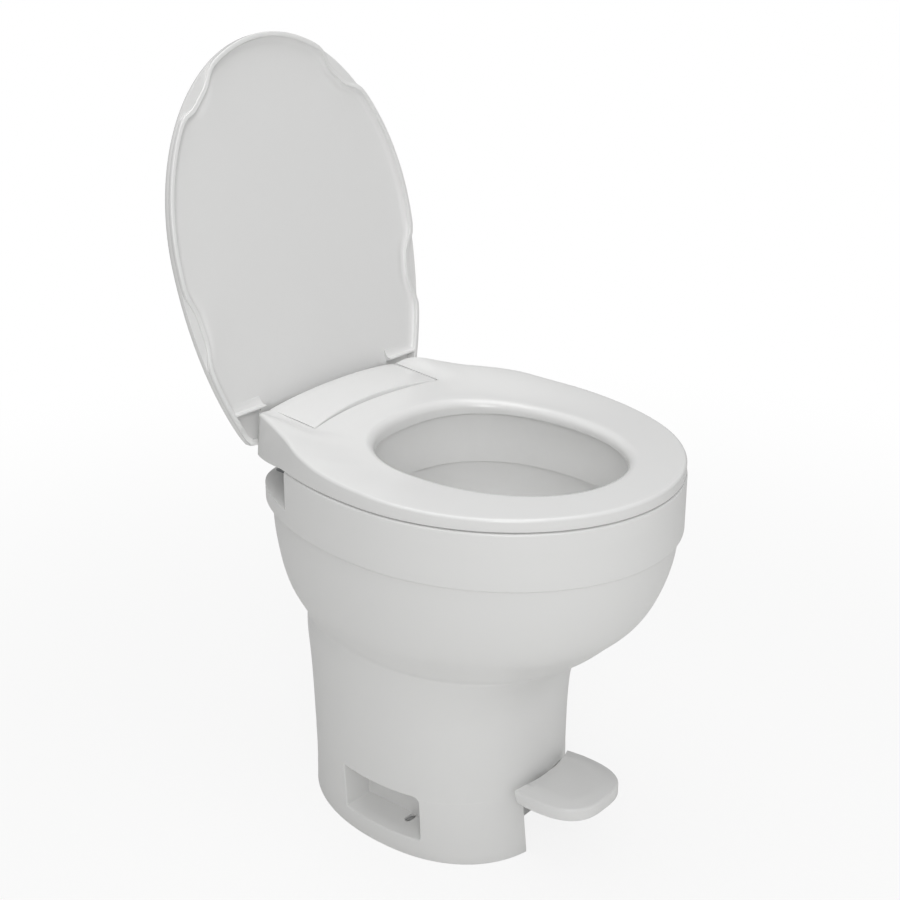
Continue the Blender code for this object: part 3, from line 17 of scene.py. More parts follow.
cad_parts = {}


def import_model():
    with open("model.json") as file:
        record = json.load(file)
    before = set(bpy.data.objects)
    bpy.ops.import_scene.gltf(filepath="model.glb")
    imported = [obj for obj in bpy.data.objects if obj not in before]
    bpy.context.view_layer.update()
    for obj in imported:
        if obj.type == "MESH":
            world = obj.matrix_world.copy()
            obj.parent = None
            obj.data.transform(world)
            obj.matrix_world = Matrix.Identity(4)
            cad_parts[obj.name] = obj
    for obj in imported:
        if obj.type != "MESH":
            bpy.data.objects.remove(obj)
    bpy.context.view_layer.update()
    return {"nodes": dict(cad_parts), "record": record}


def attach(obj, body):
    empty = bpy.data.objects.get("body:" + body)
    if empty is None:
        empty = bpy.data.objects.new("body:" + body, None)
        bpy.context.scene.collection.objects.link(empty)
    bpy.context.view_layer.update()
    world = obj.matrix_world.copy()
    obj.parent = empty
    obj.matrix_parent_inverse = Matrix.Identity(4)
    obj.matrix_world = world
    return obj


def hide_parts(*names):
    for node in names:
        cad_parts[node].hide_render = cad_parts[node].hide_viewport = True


log = logging.getLogger("rv_toilet")

TOUCH_GAP = 0.0003
OVERRUN = 0.004
RING_POINTS = 176
SHARP_DEGREES = 38.0
TURNED_POINTS = 48
SCREW_POINTS = 16
BOLT_POINTS = 24
RECESS_POINTS = 72
SIDES = (-1, 1)
NOISE_SPAN = {"From Min": 0.1, "From Max": 0.9}

Ring = list[Vector]
Points = list[tuple[float, float]]


class Slot(str, Enum):
    """The record's material slots."""

    SHELL = "shell_white"
    SEAT = "seat_white"
    RUBBER = "rubber_gray"
    SEAL = "seal_black"
    MECHANISM = "mechanism_gray"
    VALVE = "valve_blue_gray"
    STEEL = "steel"
    BRASS = "brass"
    HOSE = "hose_gray"


class Body(str, Enum):
    """The bodies that pieces ride on."""

    BASE = "base"
    SEAT = "seat"
    LID = "lid"
    PEDAL = "pedal"
    BALL = "ball"
    PLUNGER = "plunger"
    FLOAT = "float"


class Operation(str, Enum):
    """What a tool does to the piece that it meets."""

    CUT = "DIFFERENCE"
    JOIN = "UNION"
    KEEP = "INTERSECT"


def between(start: float, end: float, share: float) -> float:
    """The value at a share of the way from start to end."""
    return start + (end - start) * share


def ramp(value: float, low: float, high: float) -> float:
    """A smooth step from 0 at low to 1 at high."""
    share = min(max((value - low) / (high - low), 0.0), 1.0)
    return share * share * (3 - 2 * share)


def soft_limit(value: float, limit: float, softness: float) -> float:
    """The value, held under the limit by a smooth corner."""
    return value - softness * math.log1p(math.exp((value - limit) / softness))


def ring_angles(count: int = RING_POINTS) -> list[float]:
    """Even angles once round, from the front."""
    return [math.tau * i / count for i in range(count)]


def oval(
    angle: float, half: float, front: float, rear: float, front_power: float = 2.0, rear_power: float = 2.0
) -> tuple[float, float]:
    """A point of an oval about zero.

    Args:
        angle: 0 is the front.
        half: half the width.
        front: reach to the front.
        rear: reach to the rear.
        front_power: 2 is round, and more squares the front corners.
        rear_power: the same for the rear.

    Returns:
        The point's x and y.
    """
    across = math.sin(angle)
    along = -math.cos(angle)
    reach, power = (front, front_power) if along < 0 else (rear, rear_power)
    x = half * math.copysign(abs(across) ** (2 / power), across)
    return x, reach * math.copysign(abs(along) ** (2 / power), along)


def smooth_row(rows: tuple[tuple[float, ...], ...], place: float) -> list[float]:
    """Values at a place on the smooth curve through rows of (place, value, value, ...).

    Args:
        rows: the rows, by rising place.
        place: where to read the curve.

    Returns:
        One value for each column after the first.
    """
    last = len(rows) - 1
    k = min(max(i for i, row in enumerate(rows) if row[0] <= place or i == 0), last - 1)
    step = rows[k + 1][0] - rows[k][0]
    t = (place - rows[k][0]) / step
    values = []
    for column in range(1, len(rows[0])):
        slopes = []
        for i in (k, k + 1):
            low, high = rows[max(i - 1, 0)], rows[min(i + 1, last)]
            slopes.append((high[column] - low[column]) / (high[0] - low[0]))
        start, end = rows[k][column], rows[k + 1][column]
        ease = t * t * (3 - 2 * t)
        bend = slopes[0] * (t**3 - 2 * t**2 + t) + slopes[1] * (t**3 - t**2)
        values.append(between(start, end, ease) + step * bend)
    return values


def level_ring(points: Points, height: float) -> Ring:
    """Points in x and y as a level ring."""
    return [Vector((x, y, height)) for x, y in points]


def rounding(radius: float, steps: int = 5) -> Points:
    """A rounded edge as (inset, drop) pairs, from its upright side to its flat top.

    Args:
        radius: radius of the edge.
        steps: parts of its quarter turn.

    Returns:
        The pairs.
    """
    pairs = []
    for i in range(steps + 1):
        turn = math.pi / 2 * i / steps
        pairs.append((radius * (1 - math.cos(turn)), radius * (1 - math.sin(turn))))
    return pairs


class Skin:
    """A surface drawn from ring to ring by extruding its open edge."""

    def __init__(self, first: Ring, capped: bool = True) -> None:
        """Start from a ring, which a flat face closes if it is capped.

        Args:
            first: the ring.
            capped: whether a face closes it.
        """
        self.mesh = bmesh.new()
        made = bmesh.ops.create_circle(self.mesh, cap_ends=capped, segments=len(first), radius=1.0)
        self.verts = list(made["verts"])
        for vert, point in zip(self.verts, first):
            vert.co = point
        self.edges = list(self.mesh.edges)
        self.start = first

    def reach(self, ring: Ring) -> None:
        """Extrude the open edge to the next ring.

        Args:
            ring: as many points as the open edge has.
        """
        made = bmesh.ops.extrude_edge_only(self.mesh, edges=self.edges)["geom"]
        fresh = {item for item in made if isinstance(item, bmesh.types.BMVert)}
        new_verts = []
        for vert, point in zip(self.verts, ring):
            twin = next(e.other_vert(vert) for e in vert.link_edges if e.other_vert(vert) in fresh)
            twin.co = point
            new_verts.append(twin)
        new_edges = [item for item in made if isinstance(item, bmesh.types.BMEdge)]
        self.edges = [e for e in new_edges if e.verts[0] in fresh and e.verts[1] in fresh]
        self.verts = new_verts

    def piece(self, name: str, closed: bool = False) -> bpy.types.Object:
        """Close the surface, as a ring or with a flat cap, and make it an object.

        Args:
            name: the object's name.
            closed: whether it joins the first ring.

        Returns:
            The new object.
        """
        if closed:
            self.reach(self.start)
        else:
            bmesh.ops.contextual_create(self.mesh, geom=self.edges)
        return piece_from(name, self.mesh)


def smooth_shade(data: bpy.types.Mesh, sharp_degrees: float) -> None:
    """Shade a mesh smooth up to an angle between its faces."""
    data.shade_smooth()
    data.set_sharp_from_angle(angle=math.radians(sharp_degrees))


def linked(name: str, data: bpy.types.ID) -> bpy.types.Object:
    """A new object, linked to the scene.

    Args:
        name: the object's name.
        data: its mesh, camera or light.

    Returns:
        The new object.
    """
    obj = bpy.data.objects.new(name, data)
    bpy.context.scene.collection.objects.link(obj)
    return obj


def piece_from(name: str, mesh: bmesh.types.BMesh, sharp_degrees: float = SHARP_DEGREES) -> bpy.types.Object:
    """Merge doubles, turn the faces outwards, and link the mesh as an object at the origin.

    Args:
        name: the object's name.
        mesh: the finished mesh, which is freed.
        sharp_degrees: faces that meet at more than this stay sharp.

    Returns:
        The new object.
    """
    bmesh.ops.remove_doubles(mesh, verts=mesh.verts, dist=TOUCH_GAP * 0.01)
    bmesh.ops.recalc_face_normals(mesh, faces=mesh.faces)
    data = bpy.data.meshes.new(name)
    mesh.to_mesh(data)
    mesh.free()
    smooth_shade(data, sharp_degrees)
    return linked(name, data)


def loft(name: str, rings: list[Ring], closed: bool = False) -> bpy.types.Object:
    """Skin a stack of rings. A closed stack ends where it began, else flat faces cap both ends.

    Args:
        name: the object's name.
        rings: rings with the same number of points.
        closed: whether the last ring joins the first.

    Returns:
        The new object.
    """
    skin = Skin(rings[0], capped=not closed)
    for ring in rings[1:]:
        skin.reach(ring)
    return skin.piece(name, closed)


def block(name: str, low: tuple[float, ...], high: tuple[float, ...]) -> bpy.types.Object:
    """A box between two corners.

    Args:
        name: the object's name.
        low: its lowest corner.
        high: its highest corner.

    Returns:
        The new object.
    """
    mesh = bmesh.new()
    bmesh.ops.create_cube(mesh, size=1.0)
    low_corner, high_corner = Vector(low), Vector(high)
    bmesh.ops.scale(mesh, vec=high_corner - low_corner, verts=mesh.verts)
    bmesh.ops.translate(mesh, vec=(low_corner + high_corner) / 2, verts=mesh.verts)
    return piece_from(name, mesh)


def rod(
    name: str, center: tuple[float, ...], axis: str, radius: float, start: float, end: float,
    points: int = TURNED_POINTS,
) -> bpy.types.Object:
    """A round bar along X, Y or Z.

    Args:
        name: the object's name.
        center: a point on the axis; its value along the axis isn't used.
        axis: the letter of the axis.
        radius: the bar's radius.
        start: lower end along the axis.
        end: upper end along the axis.
        points: sides of the bar.

    Returns:
        The new object.
    """
    mesh = bmesh.new()
    size = {"radius1": radius, "radius2": radius, "depth": end - start}
    bmesh.ops.create_cone(mesh, cap_ends=True, segments=points, **size)
    turns = {"X": (math.pi / 2, "Y"), "Y": (math.pi / 2, "X"), "Z": (0.0, "Z")}
    bmesh.ops.rotate(mesh, matrix=Matrix.Rotation(turns[axis][0], 3, turns[axis][1]), verts=mesh.verts)
    place = Vector(center)
    place["XYZ".index(axis)] = (start + end) / 2
    bmesh.ops.translate(mesh, vec=place, verts=mesh.verts)
    return piece_from(name, mesh)


def turned(name: str, profile: Points, center: tuple[float, ...]) -> bpy.types.Object:
    """Spin a (radius, height) outline, which starts and ends on the axis, about Z through the center.

    Args:
        name: the object's name.
        profile: the outline.
        center: where its zero goes.

    Returns:
        The new object.
    """
    mesh = bmesh.new()
    made = [mesh.verts.new((radius, 0.0, height)) for radius, height in profile]
    edges = [mesh.edges.new(pair) for pair in zip(made, made[1:])]
    geometry = [*made, *edges]
    around = {"cent": (0, 0, 0), "axis": (0, 0, 1), "angle": math.tau, "steps": TURNED_POINTS}
    bmesh.ops.spin(mesh, geom=geometry, use_merge=True, use_duplicate=False, **around)
    bmesh.ops.translate(mesh, vec=center, verts=mesh.verts)
    return piece_from(name, mesh)


def shaped(piece: bpy.types.Object, *steps: tuple[Operation, bpy.types.Object]) -> bpy.types.Object:
    """Cut or join tools in order, keep the result in the piece's own mesh and remove the tools.

    Args:
        piece: the piece that is worked on.
        steps: pairs of what to do and the tool to do it with.

    Returns:
        The piece.
    """
    for operation, tool in steps:
        modifier = piece.modifiers.new(tool.name, "BOOLEAN")
        modifier.solver = "EXACT"
        modifier.operation = operation.value
        modifier.object = tool
    graph = bpy.context.evaluated_depsgraph_get()
    result = bpy.data.meshes.new_from_object(piece.evaluated_get(graph), depsgraph=graph)
    piece.modifiers.clear()
    old = piece.data
    piece.data = result
    bpy.data.meshes.remove(old)
    for _, tool in steps:
        bpy.data.objects.remove(tool, do_unlink=True)
    merged = bmesh.new()
    merged.from_mesh(result)
    bmesh.ops.remove_doubles(merged, verts=merged.verts, dist=TOUCH_GAP * 0.02)
    bmesh.ops.dissolve_degenerate(merged, edges=merged.edges, dist=TOUCH_GAP * 0.01)
    merged.to_mesh(result)
    merged.free()
    smooth_shade(result, SHARP_DEGREES)
    return piece


def soften(piece: bpy.types.Object, width: float, degrees: float = 42.0, segments: int = 3) -> None:
    """Round the piece's hard edges with a live bevel.

    Args:
        piece: the piece.
        width: width of the bevel.
        degrees: edges sharper than this are rounded.
        segments: steps of the rounding.
    """
    modifier = piece.modifiers.new("soft_edges", "BEVEL")
    modifier.width = width
    modifier.segments = segments
    modifier.limit_method = "ANGLE"
    modifier.angle_limit = math.radians(degrees)
    modifier.use_clamp_overlap = True


def set_inputs(node: bpy.types.Node, values: dict[str, float | tuple]) -> None:
    """Give a node's named inputs their values."""
    for label, value in values.items():
        node.inputs[label].default_value = value


class Effects:
    """Shader node groups that the finishes share."""

    SURFACE = {"Roughness": "NodeSocketFloat", "Height": "NodeSocketFloat"}

    def __init__(self) -> None:
        """Build each group once."""
        self.tone = self._tone_drift()
        self.grain = self._fine_grain()
        self.lines = self._drawn_lines()

    @staticmethod
    def _group(name: str, inputs: dict[str, float | tuple], outputs: dict[str, str]) -> bpy.types.NodeTree:
        """A new group with its sockets, its input defaults and an input and an output node.

        Args:
            name: the group's name.
            inputs: defaults by label; a tuple makes a colour.
            outputs: socket types by label.

        Returns:
            The group.
        """
        group = bpy.data.node_groups.new(name, "ShaderNodeTree")
        for label, value in inputs.items():
            kind = "NodeSocketColor" if isinstance(value, tuple) else "NodeSocketFloat"
            socket = group.interface.new_socket(name=label, in_out="INPUT", socket_type=kind)
            socket.default_value = value
        for label, kind in outputs.items():
            group.interface.new_socket(name=label, in_out="OUTPUT", socket_type=kind)
        group.nodes.new("NodeGroupInput").name = "in"
        group.nodes.new("NodeGroupOutput").name = "out"
        return group

    @staticmethod
    def _noise(
        group: bpy.types.NodeTree, scale: str, detail: float, stretch: tuple[float, ...] | None = None
    ) -> bpy.types.Node:
        """A noise texture on object coordinates.

        Args:
            group: the node group.
            scale: the group's input that sets the scale.
            detail: octaves of the noise.
            stretch: scale along X, Y and Z, if any.

        Returns:
            The noise node.
        """
        coordinates = group.nodes.new("ShaderNodeTexCoord")
        noise = group.nodes.new("ShaderNodeTexNoise")
        noise.inputs["Detail"].default_value = detail
        source = coordinates.outputs["Object"]
        if stretch:
            mapping = group.nodes.new("ShaderNodeMapping")
            mapping.inputs["Scale"].default_value = stretch
            group.links.new(source, mapping.inputs["Vector"])
            source = mapping.outputs["Vector"]
        group.links.new(source, noise.inputs["Vector"])
        group.links.new(group.nodes["in"].outputs[scale], noise.inputs["Scale"])
        return noise

    @staticmethod
    def _spread(group: bpy.types.NodeTree, noise: bpy.types.Node, low: str, high: str) -> bpy.types.Node:
        """Map noise to the span between two of the group's inputs.

        Args:
            group: the node group.
            noise: the noise node.
            low: label of the low end.
            high: label of the high end.

        Returns:
            The node that maps it.
        """
        span = group.nodes.new("ShaderNodeMapRange")
        set_inputs(span, NOISE_SPAN)
        group.links.new(noise.outputs["Fac"], span.inputs["Value"])
        group.links.new(group.nodes["in"].outputs[low], span.inputs["To Min"])
        group.links.new(group.nodes["in"].outputs[high], span.inputs["To Max"])
        return span

    def _tone_drift(self) -> bpy.types.NodeTree:
        """Colour that drifts between two tones in broad clouds, with finer flow marks in them.

        Returns:
            The group, which puts out a colour.
        """
        inputs = {"Light Tone": (0.8, 0.8, 0.8, 1.0), "Dark Tone": (0.7, 0.7, 0.7, 1.0)}
        inputs |= {"Cloud Scale": 7.0, "Fleck Scale": 160.0}
        group = self._group("tone_drift", inputs, {"Color": "NodeSocketColor"})
        clouds = self._noise(group, "Cloud Scale", 3.0)
        flecks = self._noise(group, "Fleck Scale", 2.0)
        blend = group.nodes.new("ShaderNodeMath")
        blend.operation = "MULTIPLY_ADD"
        blend.inputs[1].default_value = 0.3
        group.links.new(flecks.outputs["Fac"], blend.inputs[0])
        cloud_share = group.nodes.new("ShaderNodeMapRange")
        set_inputs(cloud_share, NOISE_SPAN | {"To Max": 0.7})
        group.links.new(clouds.outputs["Fac"], cloud_share.inputs["Value"])
        group.links.new(cloud_share.outputs["Result"], blend.inputs[2])
        mix = group.nodes.new("ShaderNodeMix")
        mix.data_type = "RGBA"
        group.links.new(blend.outputs["Value"], mix.inputs["Factor"])
        group.links.new(group.nodes["in"].outputs["Dark Tone"], mix.inputs["A"])
        group.links.new(group.nodes["in"].outputs["Light Tone"], mix.inputs["B"])
        group.links.new(mix.outputs["Result"], group.nodes["out"].inputs["Color"])
        return group

    def _fine_grain(self) -> bpy.types.NodeTree:
        """The skin of a moulded part: a gloss that varies a little over a faint, uneven relief.

        Returns:
            The group, which puts out roughness and height.
        """
        inputs = {"Gloss Low": 0.25, "Gloss High": 0.35, "Gloss Scale": 12.0, "Relief Scale": 420.0}
        group = self._group("fine_grain", inputs, self.SURFACE)
        gloss = self._noise(group, "Gloss Scale", 4.0)
        return self._surface(group, gloss, self._noise(group, "Relief Scale", 2.0))

    def _drawn_lines(self) -> bpy.types.NodeTree:
        """Fine lines that run level round the piece, as on turned metal and ribbed hose.

        Returns:
            The group, which puts out roughness and height.
        """
        inputs = {"Gloss Low": 0.2, "Gloss High": 0.4, "Line Scale": 90.0}
        group = self._group("drawn_lines", inputs, self.SURFACE)
        lines = self._noise(group, "Line Scale", 3.0, stretch=(1.0, 1.0, 14.0))
        return self._surface(group, lines, lines)

    def _surface(
        self, group: bpy.types.NodeTree, gloss: bpy.types.Node, relief: bpy.types.Node
    ) -> bpy.types.NodeTree:
        """Put a gloss noise and a relief noise out as roughness and height.

        Args:
            group: the node group.
            gloss: noise for the roughness.
            relief: noise for the height.

        Returns:
            The group.
        """
        span = self._spread(group, gloss, "Gloss Low", "Gloss High")
        group.links.new(span.outputs["Result"], group.nodes["out"].inputs["Roughness"])
        group.links.new(relief.outputs["Fac"], group.nodes["out"].inputs["Height"])
        return group


@dataclass(frozen=True)
class Finish:
    """A surface finish, made into one material.

    Colours are linear. The tone drifts between the two, and the surface group gives roughness and relief.
    """

    slot: Slot
    light_tone: tuple[float, float, float]
    dark_tone: tuple[float, float, float]
    gloss: tuple[float, float]
    relief: float
    relief_scale: float = 420.0
    cloud_scale: float = 7.0
    metallic: float = 0.0
    coat: float = 0.0
    drawn: bool = False

    def material(self, effects: Effects) -> bpy.types.Material:
        """Build the finish as a material.

        Args:
            effects: the shared node groups.

        Returns:
            A material named for the finish's slot.
        """
        material = bpy.data.materials.new(self.slot.value)
        material.use_nodes = True
        nodes, links = material.node_tree.nodes, material.node_tree.links
        shader = nodes["Principled BSDF"]
        set_inputs(shader, {"Metallic": self.metallic, "Coat Weight": self.coat, "Coat Roughness": 0.12})
        tone = nodes.new("ShaderNodeGroup")
        tone.node_tree = effects.tone
        set_inputs(tone, {"Light Tone": (*self.light_tone, 1.0), "Dark Tone": (*self.dark_tone, 1.0)})
        set_inputs(tone, {"Cloud Scale": self.cloud_scale})
        links.new(tone.outputs["Color"], shader.inputs["Base Color"])
        surface = nodes.new("ShaderNodeGroup")
        surface.node_tree = effects.lines if self.drawn else effects.grain
        scale = "Line Scale" if self.drawn else "Relief Scale"
        low, high = self.gloss
        set_inputs(surface, {"Gloss Low": low, "Gloss High": high, scale: self.relief_scale})
        links.new(surface.outputs["Roughness"], shader.inputs["Roughness"])
        bump = nodes.new("ShaderNodeBump")
        set_inputs(bump, {"Strength": self.relief, "Distance": 0.0004})
        links.new(surface.outputs["Height"], bump.inputs["Height"])
        links.new(bump.outputs["Normal"], shader.inputs["Normal"])
        return material


FINISHES = (
    Finish(Slot.SHELL, (0.868, 0.868, 0.861), (0.857, 0.857, 0.849), (0.27, 0.34), 0.10, coat=0.15),
    Finish(Slot.SEAT, (0.872, 0.872, 0.866), (0.863, 0.863, 0.856), (0.22, 0.28), 0.06, coat=0.25),
    Finish(Slot.RUBBER, (0.34, 0.34, 0.33), (0.27, 0.27, 0.265), (0.6, 0.75), 0.35, 900.0, 60.0),
    Finish(Slot.SEAL, (0.045, 0.045, 0.047), (0.028, 0.028, 0.03), (0.5, 0.65), 0.3, 900.0, 40.0),
    Finish(Slot.MECHANISM, (0.34, 0.35, 0.36), (0.27, 0.28, 0.29), (0.38, 0.5), 0.25, 700.0, 30.0),
    Finish(Slot.VALVE, (0.20, 0.25, 0.32), (0.15, 0.19, 0.25), (0.36, 0.46), 0.2, 700.0, 30.0),
    Finish(
        Slot.STEEL, (0.62, 0.62, 0.63), (0.52, 0.52, 0.53), (0.22, 0.38), 0.2, 90.0, 50.0,
        metallic=1.0, drawn=True,
    ),
    Finish(
        Slot.BRASS, (0.74, 0.56, 0.28), (0.62, 0.45, 0.20), (0.24, 0.4), 0.2, 90.0, 50.0,
        metallic=1.0, drawn=True,
    ),
    Finish(Slot.HOSE, (0.42, 0.43, 0.43), (0.34, 0.35, 0.35), (0.4, 0.55), 0.4, 120.0, 30.0, drawn=True),
)


class Paint:
    """The materials of all finishes, by slot."""

    def __init__(self) -> None:
        """Make every finish once."""
        effects = Effects()
        self.materials = {finish.slot: finish.material(effects) for finish in FINISHES}

    def dress(self, piece: bpy.types.Object, slot: Slot) -> None:
        """Give a piece, or a carried-over solid, the material of a slot."""
        piece.data.materials.clear()
        piece.data.materials.append(self.materials[slot])


@dataclass
class Assembly:
    """A sub-assembly: it builds its pieces, dresses them and ties them to the frame."""

    paint: Paint

    def place(self, piece: bpy.types.Object, body: Body, slot: Slot, *nodes: str) -> bpy.types.Object:
        """Dress a piece, make it ride on a body and let it stand for the named solids.

        Args:
            piece: the piece.
            body: the body it rides on.
            slot: its material slot.
            nodes: the solids that it stands for.

        Returns:
            The piece.
        """
        self.paint.dress(piece, slot)
        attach(piece, body.value)
        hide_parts(*nodes)
        log.info("%s: %d faces, rides on %s", piece.name, len(piece.data.polygons), body.value)
        return piece


@dataclass
class RimPlan:
    """The rim's outline seen from above, which pedestal, bowl and seat share."""

    half_width: float = 0.190
    front_reach: float = 0.215
    rear_reach: float = 0.265
    rear_cut: float = 0.219
    softness: float = 0.014
    widest_y: float = -0.048
    rim_top: float = 0.4365
    shell_top: float = 0.3760
    bore_center_y: float = -0.063
    bore_half: float = 0.122
    bore_front: float = 0.153
    bore_rear: float = 0.131
    bore_power: float = 2.3
    bore_front_power: float = 2.1
    throat_y: float = 0.016
    hinge_y: float = 0.142
    hinge_z: float = 0.448

    def point(self, angle: float, inset: float = 0.0) -> tuple[float, float]:
        """A point of the outline, moved in by an inset, with its flat rear."""
        x, y = oval(angle, self.half_width - inset, self.front_reach - inset, self.rear_reach - inset)
        return x, self.widest_y + soft_limit(y, self.rear_cut - inset, self.softness)

    def ring(self, height: float, inset: float = 0.0) -> Ring:
        """The outline as a level ring."""
        return level_ring([self.point(angle, inset) for angle in ring_angles()], height)

    def bore(self, height: float, grow: float = 0.0) -> Ring:
        """The bowl's opening inside the rim as a level ring.

        Args:
            height: the ring's height.
            grow: how much wider it is.

        Returns:
            The ring.
        """
        ring = []
        for angle in ring_angles():
            reach = (self.bore_half + grow, self.bore_front + grow, self.bore_rear + grow)
            x, y = oval(angle, *reach, self.bore_front_power, self.bore_power)
            ring.append(Vector((x, self.bore_center_y + y, height)))
        return ring


@dataclass
class Pedestal(Assembly):
    """The outer moulding: a column that flares to a crease, and a bowl-shaped bulge above it."""

    plan: RimPlan
    center_y: float = 0.002
    base_half: float = 0.118
    base_front: float = 0.1385
    base_rear: float = 0.1695
    crease_height: float = 0.236
    crease_half: float = 0.140
    front_power: float = 2.3
    bulge_rear_trim: float = 0.010
    front_fillet: float = 0.005
    rear_fillet: float = 0.034
    bulge_center_y: float = 0.062
    top_scale: float = 0.985
    crease_scale: float = 0.735
    wall: float = 0.0045
    wall_rise: float = 0.003
    foot_round: float = 0.0012
    edge_bevel: float = 0.0005
    ledge_height: float = 0.0768
    ledge_step: float = 0.00022
    ledge_blend: float = 0.0004
    crease_step: float = 0.00125
    crease_reach: tuple = (0.0075, 0.009)
    column_sizes: tuple = (
        (0.0, 0.1180, 0.1385, 0.1695),
        (0.0496, 0.1208, 0.1335, 0.1665),
        (0.0991, 0.1248, 0.1311, 0.1660),
        (0.1510, 0.1293, 0.1311, 0.1655),
        (0.1817, 0.1324, 0.1351, 0.1660),
        (0.2100, 0.1360, 0.1490, 0.1668),
        (0.2360, 0.1400, 0.1705, 0.1675),
    )
    bulge_shares: tuple = (
        (0.0, 0.0),
        (0.02, 0.02),
        (0.085, 0.17),
        (0.19, 0.36),
        (0.335, 0.61),
        (0.51, 0.79),
        (0.76, 0.94),
        (1.0, 1.0),
    )
    pocket_front_y: float = -0.0535
    pocket_rear_y: float = 0.0515
    pocket_bottom: float = 0.0240
    pocket_top: float = 0.0790
    pocket_depth_x: float = 0.078
    pocket_wall: float = 0.003
    pocket_lip: float = 0.0016
    pocket_corners: tuple = (0.0075, 0.0014, 0.0014, 0.0026)
    floor_top: float = 0.018
    floor_bottom: float = 0.010
    recess_half: float = 0.070
    recess_reach: float = 0.0945
    recess_power: float = 2.6
    outlet_radius: float = 0.047
    slot_place: tuple = (0.0868, -0.0180)
    slot_size: tuple = (0.016, 0.008)
    notch_sides: tuple = (-0.0285, 0.044)
    notch_height: float = 0.078
    notch_depth: float = 0.045
    inlet_height: float = 0.050
    inlet_radius: float = 0.0093
    boss_place: tuple = (0.062, 0.162)
    boss_half: float = 0.007
    boss_height: float = 0.036
    screw_ring: float = 0.0585
    screw_hole: float = 0.0024

    def column_size(self, height: float) -> tuple[float, float, float]:
        """Half width, front reach and rear reach of the column at a height.

        Args:
            height: height over the floor.

        Returns:
            The three lengths.
        """
        half, front, rear = smooth_row(self.column_sizes, min(height, self.crease_height))
        low, high = self.ledge_height - self.ledge_blend, self.ledge_height + self.ledge_blend
        step = self.ledge_step * (1 - ramp(height, low, high))
        return half + step, front + step, rear + step

    def column_point(self, angle: float, height: float, wall: float) -> Vector:
        """A point of the column, moved in by a wall. Above the crease it goes straight up.

        Args:
            angle: 0 is the front.
            height: height over the floor.
            wall: how far it is moved in.

        Returns:
            The point.
        """
        half, front, rear = self.column_size(height)
        x, y = oval(angle, half - wall, front - wall, rear - wall, self.front_power)
        return Vector((x, self.center_y + y, height))

    def bulge_point(self, angle: float, height: float, wall: float) -> Vector:
        """A point of the bulge, moved in by a wall. Below the crease it goes straight down.

        Args:
            angle: 0 is the front.
            height: height over the floor.
            wall: how far it is moved in.

        Returns:
            The point.
        """
        plan = self.plan
        share = max((height - self.crease_height) / (plan.shell_top - self.crease_height), 0.0)
        scale = between(self.crease_scale, self.top_scale, smooth_row(self.bulge_shares, min(share, 1.0))[0])
        inset = wall / scale
        rear = plan.rear_reach - self.bulge_rear_trim - inset
        x, y = oval(angle, plan.half_width - inset, plan.front_reach - inset, rear)
        y = plan.widest_y + soft_limit(y, plan.rear_cut - inset, plan.softness)
        return Vector((x * scale, self.bulge_center_y + (y - self.bulge_center_y) * scale, height))

    def ring(self, height: float, wall: float = 0.0) -> Ring:
        """A level ring of the shell: the crease is tight at the front and melts away at the rear.

        Args:
            height: height over the floor.
            wall: how far it is moved in.

        Returns:
            The ring.
        """
        ring = []
        for angle in ring_angles():
            reach = between(self.front_fillet, self.rear_fillet, ramp(-math.cos(angle), -0.55, 0.7))
            share = ramp(height, self.crease_height - reach, self.crease_height + reach)
            column = self.column_point(angle, height, wall)
            ring.append(column.lerp(self.bulge_point(angle, height, wall), share))
        return ring

    def outer_rings(self) -> list[Ring]:
        """The shell's outside, from the floor up, closer together at the foot, the ledge and the crease.

        Returns:
            The rings, in order.
        """
        rings = []
        for inset, drop in reversed(rounding(self.foot_round, 3)):
            rings.append([Vector((p.x, p.y, drop)) for p in self.ring(drop, inset)])
        heights = [self.ledge_height * (i + 1) / 7 for i in range(6)]
        heights += [self.ledge_height + self.ledge_blend * part for part in (-1.5, -0.5, 0.5, 1.5)]
        low, high = self.crease_height - self.rear_fillet, self.crease_height + self.rear_fillet
        heights += [between(self.ledge_height, low, (i + 1) / 16) for i in range(16)]
        crease = self.crease_height
        under, over = self.crease_reach
        heights += [between(low, crease - under, (i + 1) / 9) for i in range(9)]
        heights += [crease + self.crease_step * i for i in range(-5, 7)]
        heights += [between(crease + over, high, i / 9) for i in range(9)]
        heights += [between(high, self.plan.shell_top - self.foot_round, i / 18) for i in range(18)]
        rings += [self.ring(height) for height in heights]
        top = self.plan.shell_top
        for inset, drop in rounding(self.foot_round, 3):
            rings.append([Vector((p.x, p.y, top - drop)) for p in self.ring(top - drop, inset)])
        return rings

    def cavity(self) -> bpy.types.Object:
        """The inside of the shell, from its floor to past its top.

        Returns:
            The cutter.
        """
        rings = [[Vector((p.x, p.y, self.floor_top)) for p in self.ring(0.0, self.wall)]]
        crease, top = self.crease_height, self.plan.shell_top
        rings += [self.ring(between(0.030, crease, i / 14), self.wall) for i in range(15)]
        for i in range(1, 15):
            height = between(crease, top, i / 14)
            lowered = height - self.wall_rise * min(i / 3, 1.0)
            rings.append([Vector((p.x, p.y, height)) for p in self.ring(lowered, self.wall)])
        rings.append([Vector((p.x, p.y, top + OVERRUN)) for p in rings[-1]])
        return loft("shell_cavity", rings)

    def wall_x(self, y: float, height: float) -> float:
        """Half the column's width at a place along it and a height.

        Args:
            y: place along the column.
            height: height over the floor.

        Returns:
            The half width.
        """
        half, front, rear = self.column_size(height)
        away = y - self.center_y
        reach, power = (front, self.front_power) if away < 0 else (rear, 2.0)
        return half * (1 - abs(away / reach) ** power) ** (1 / power)

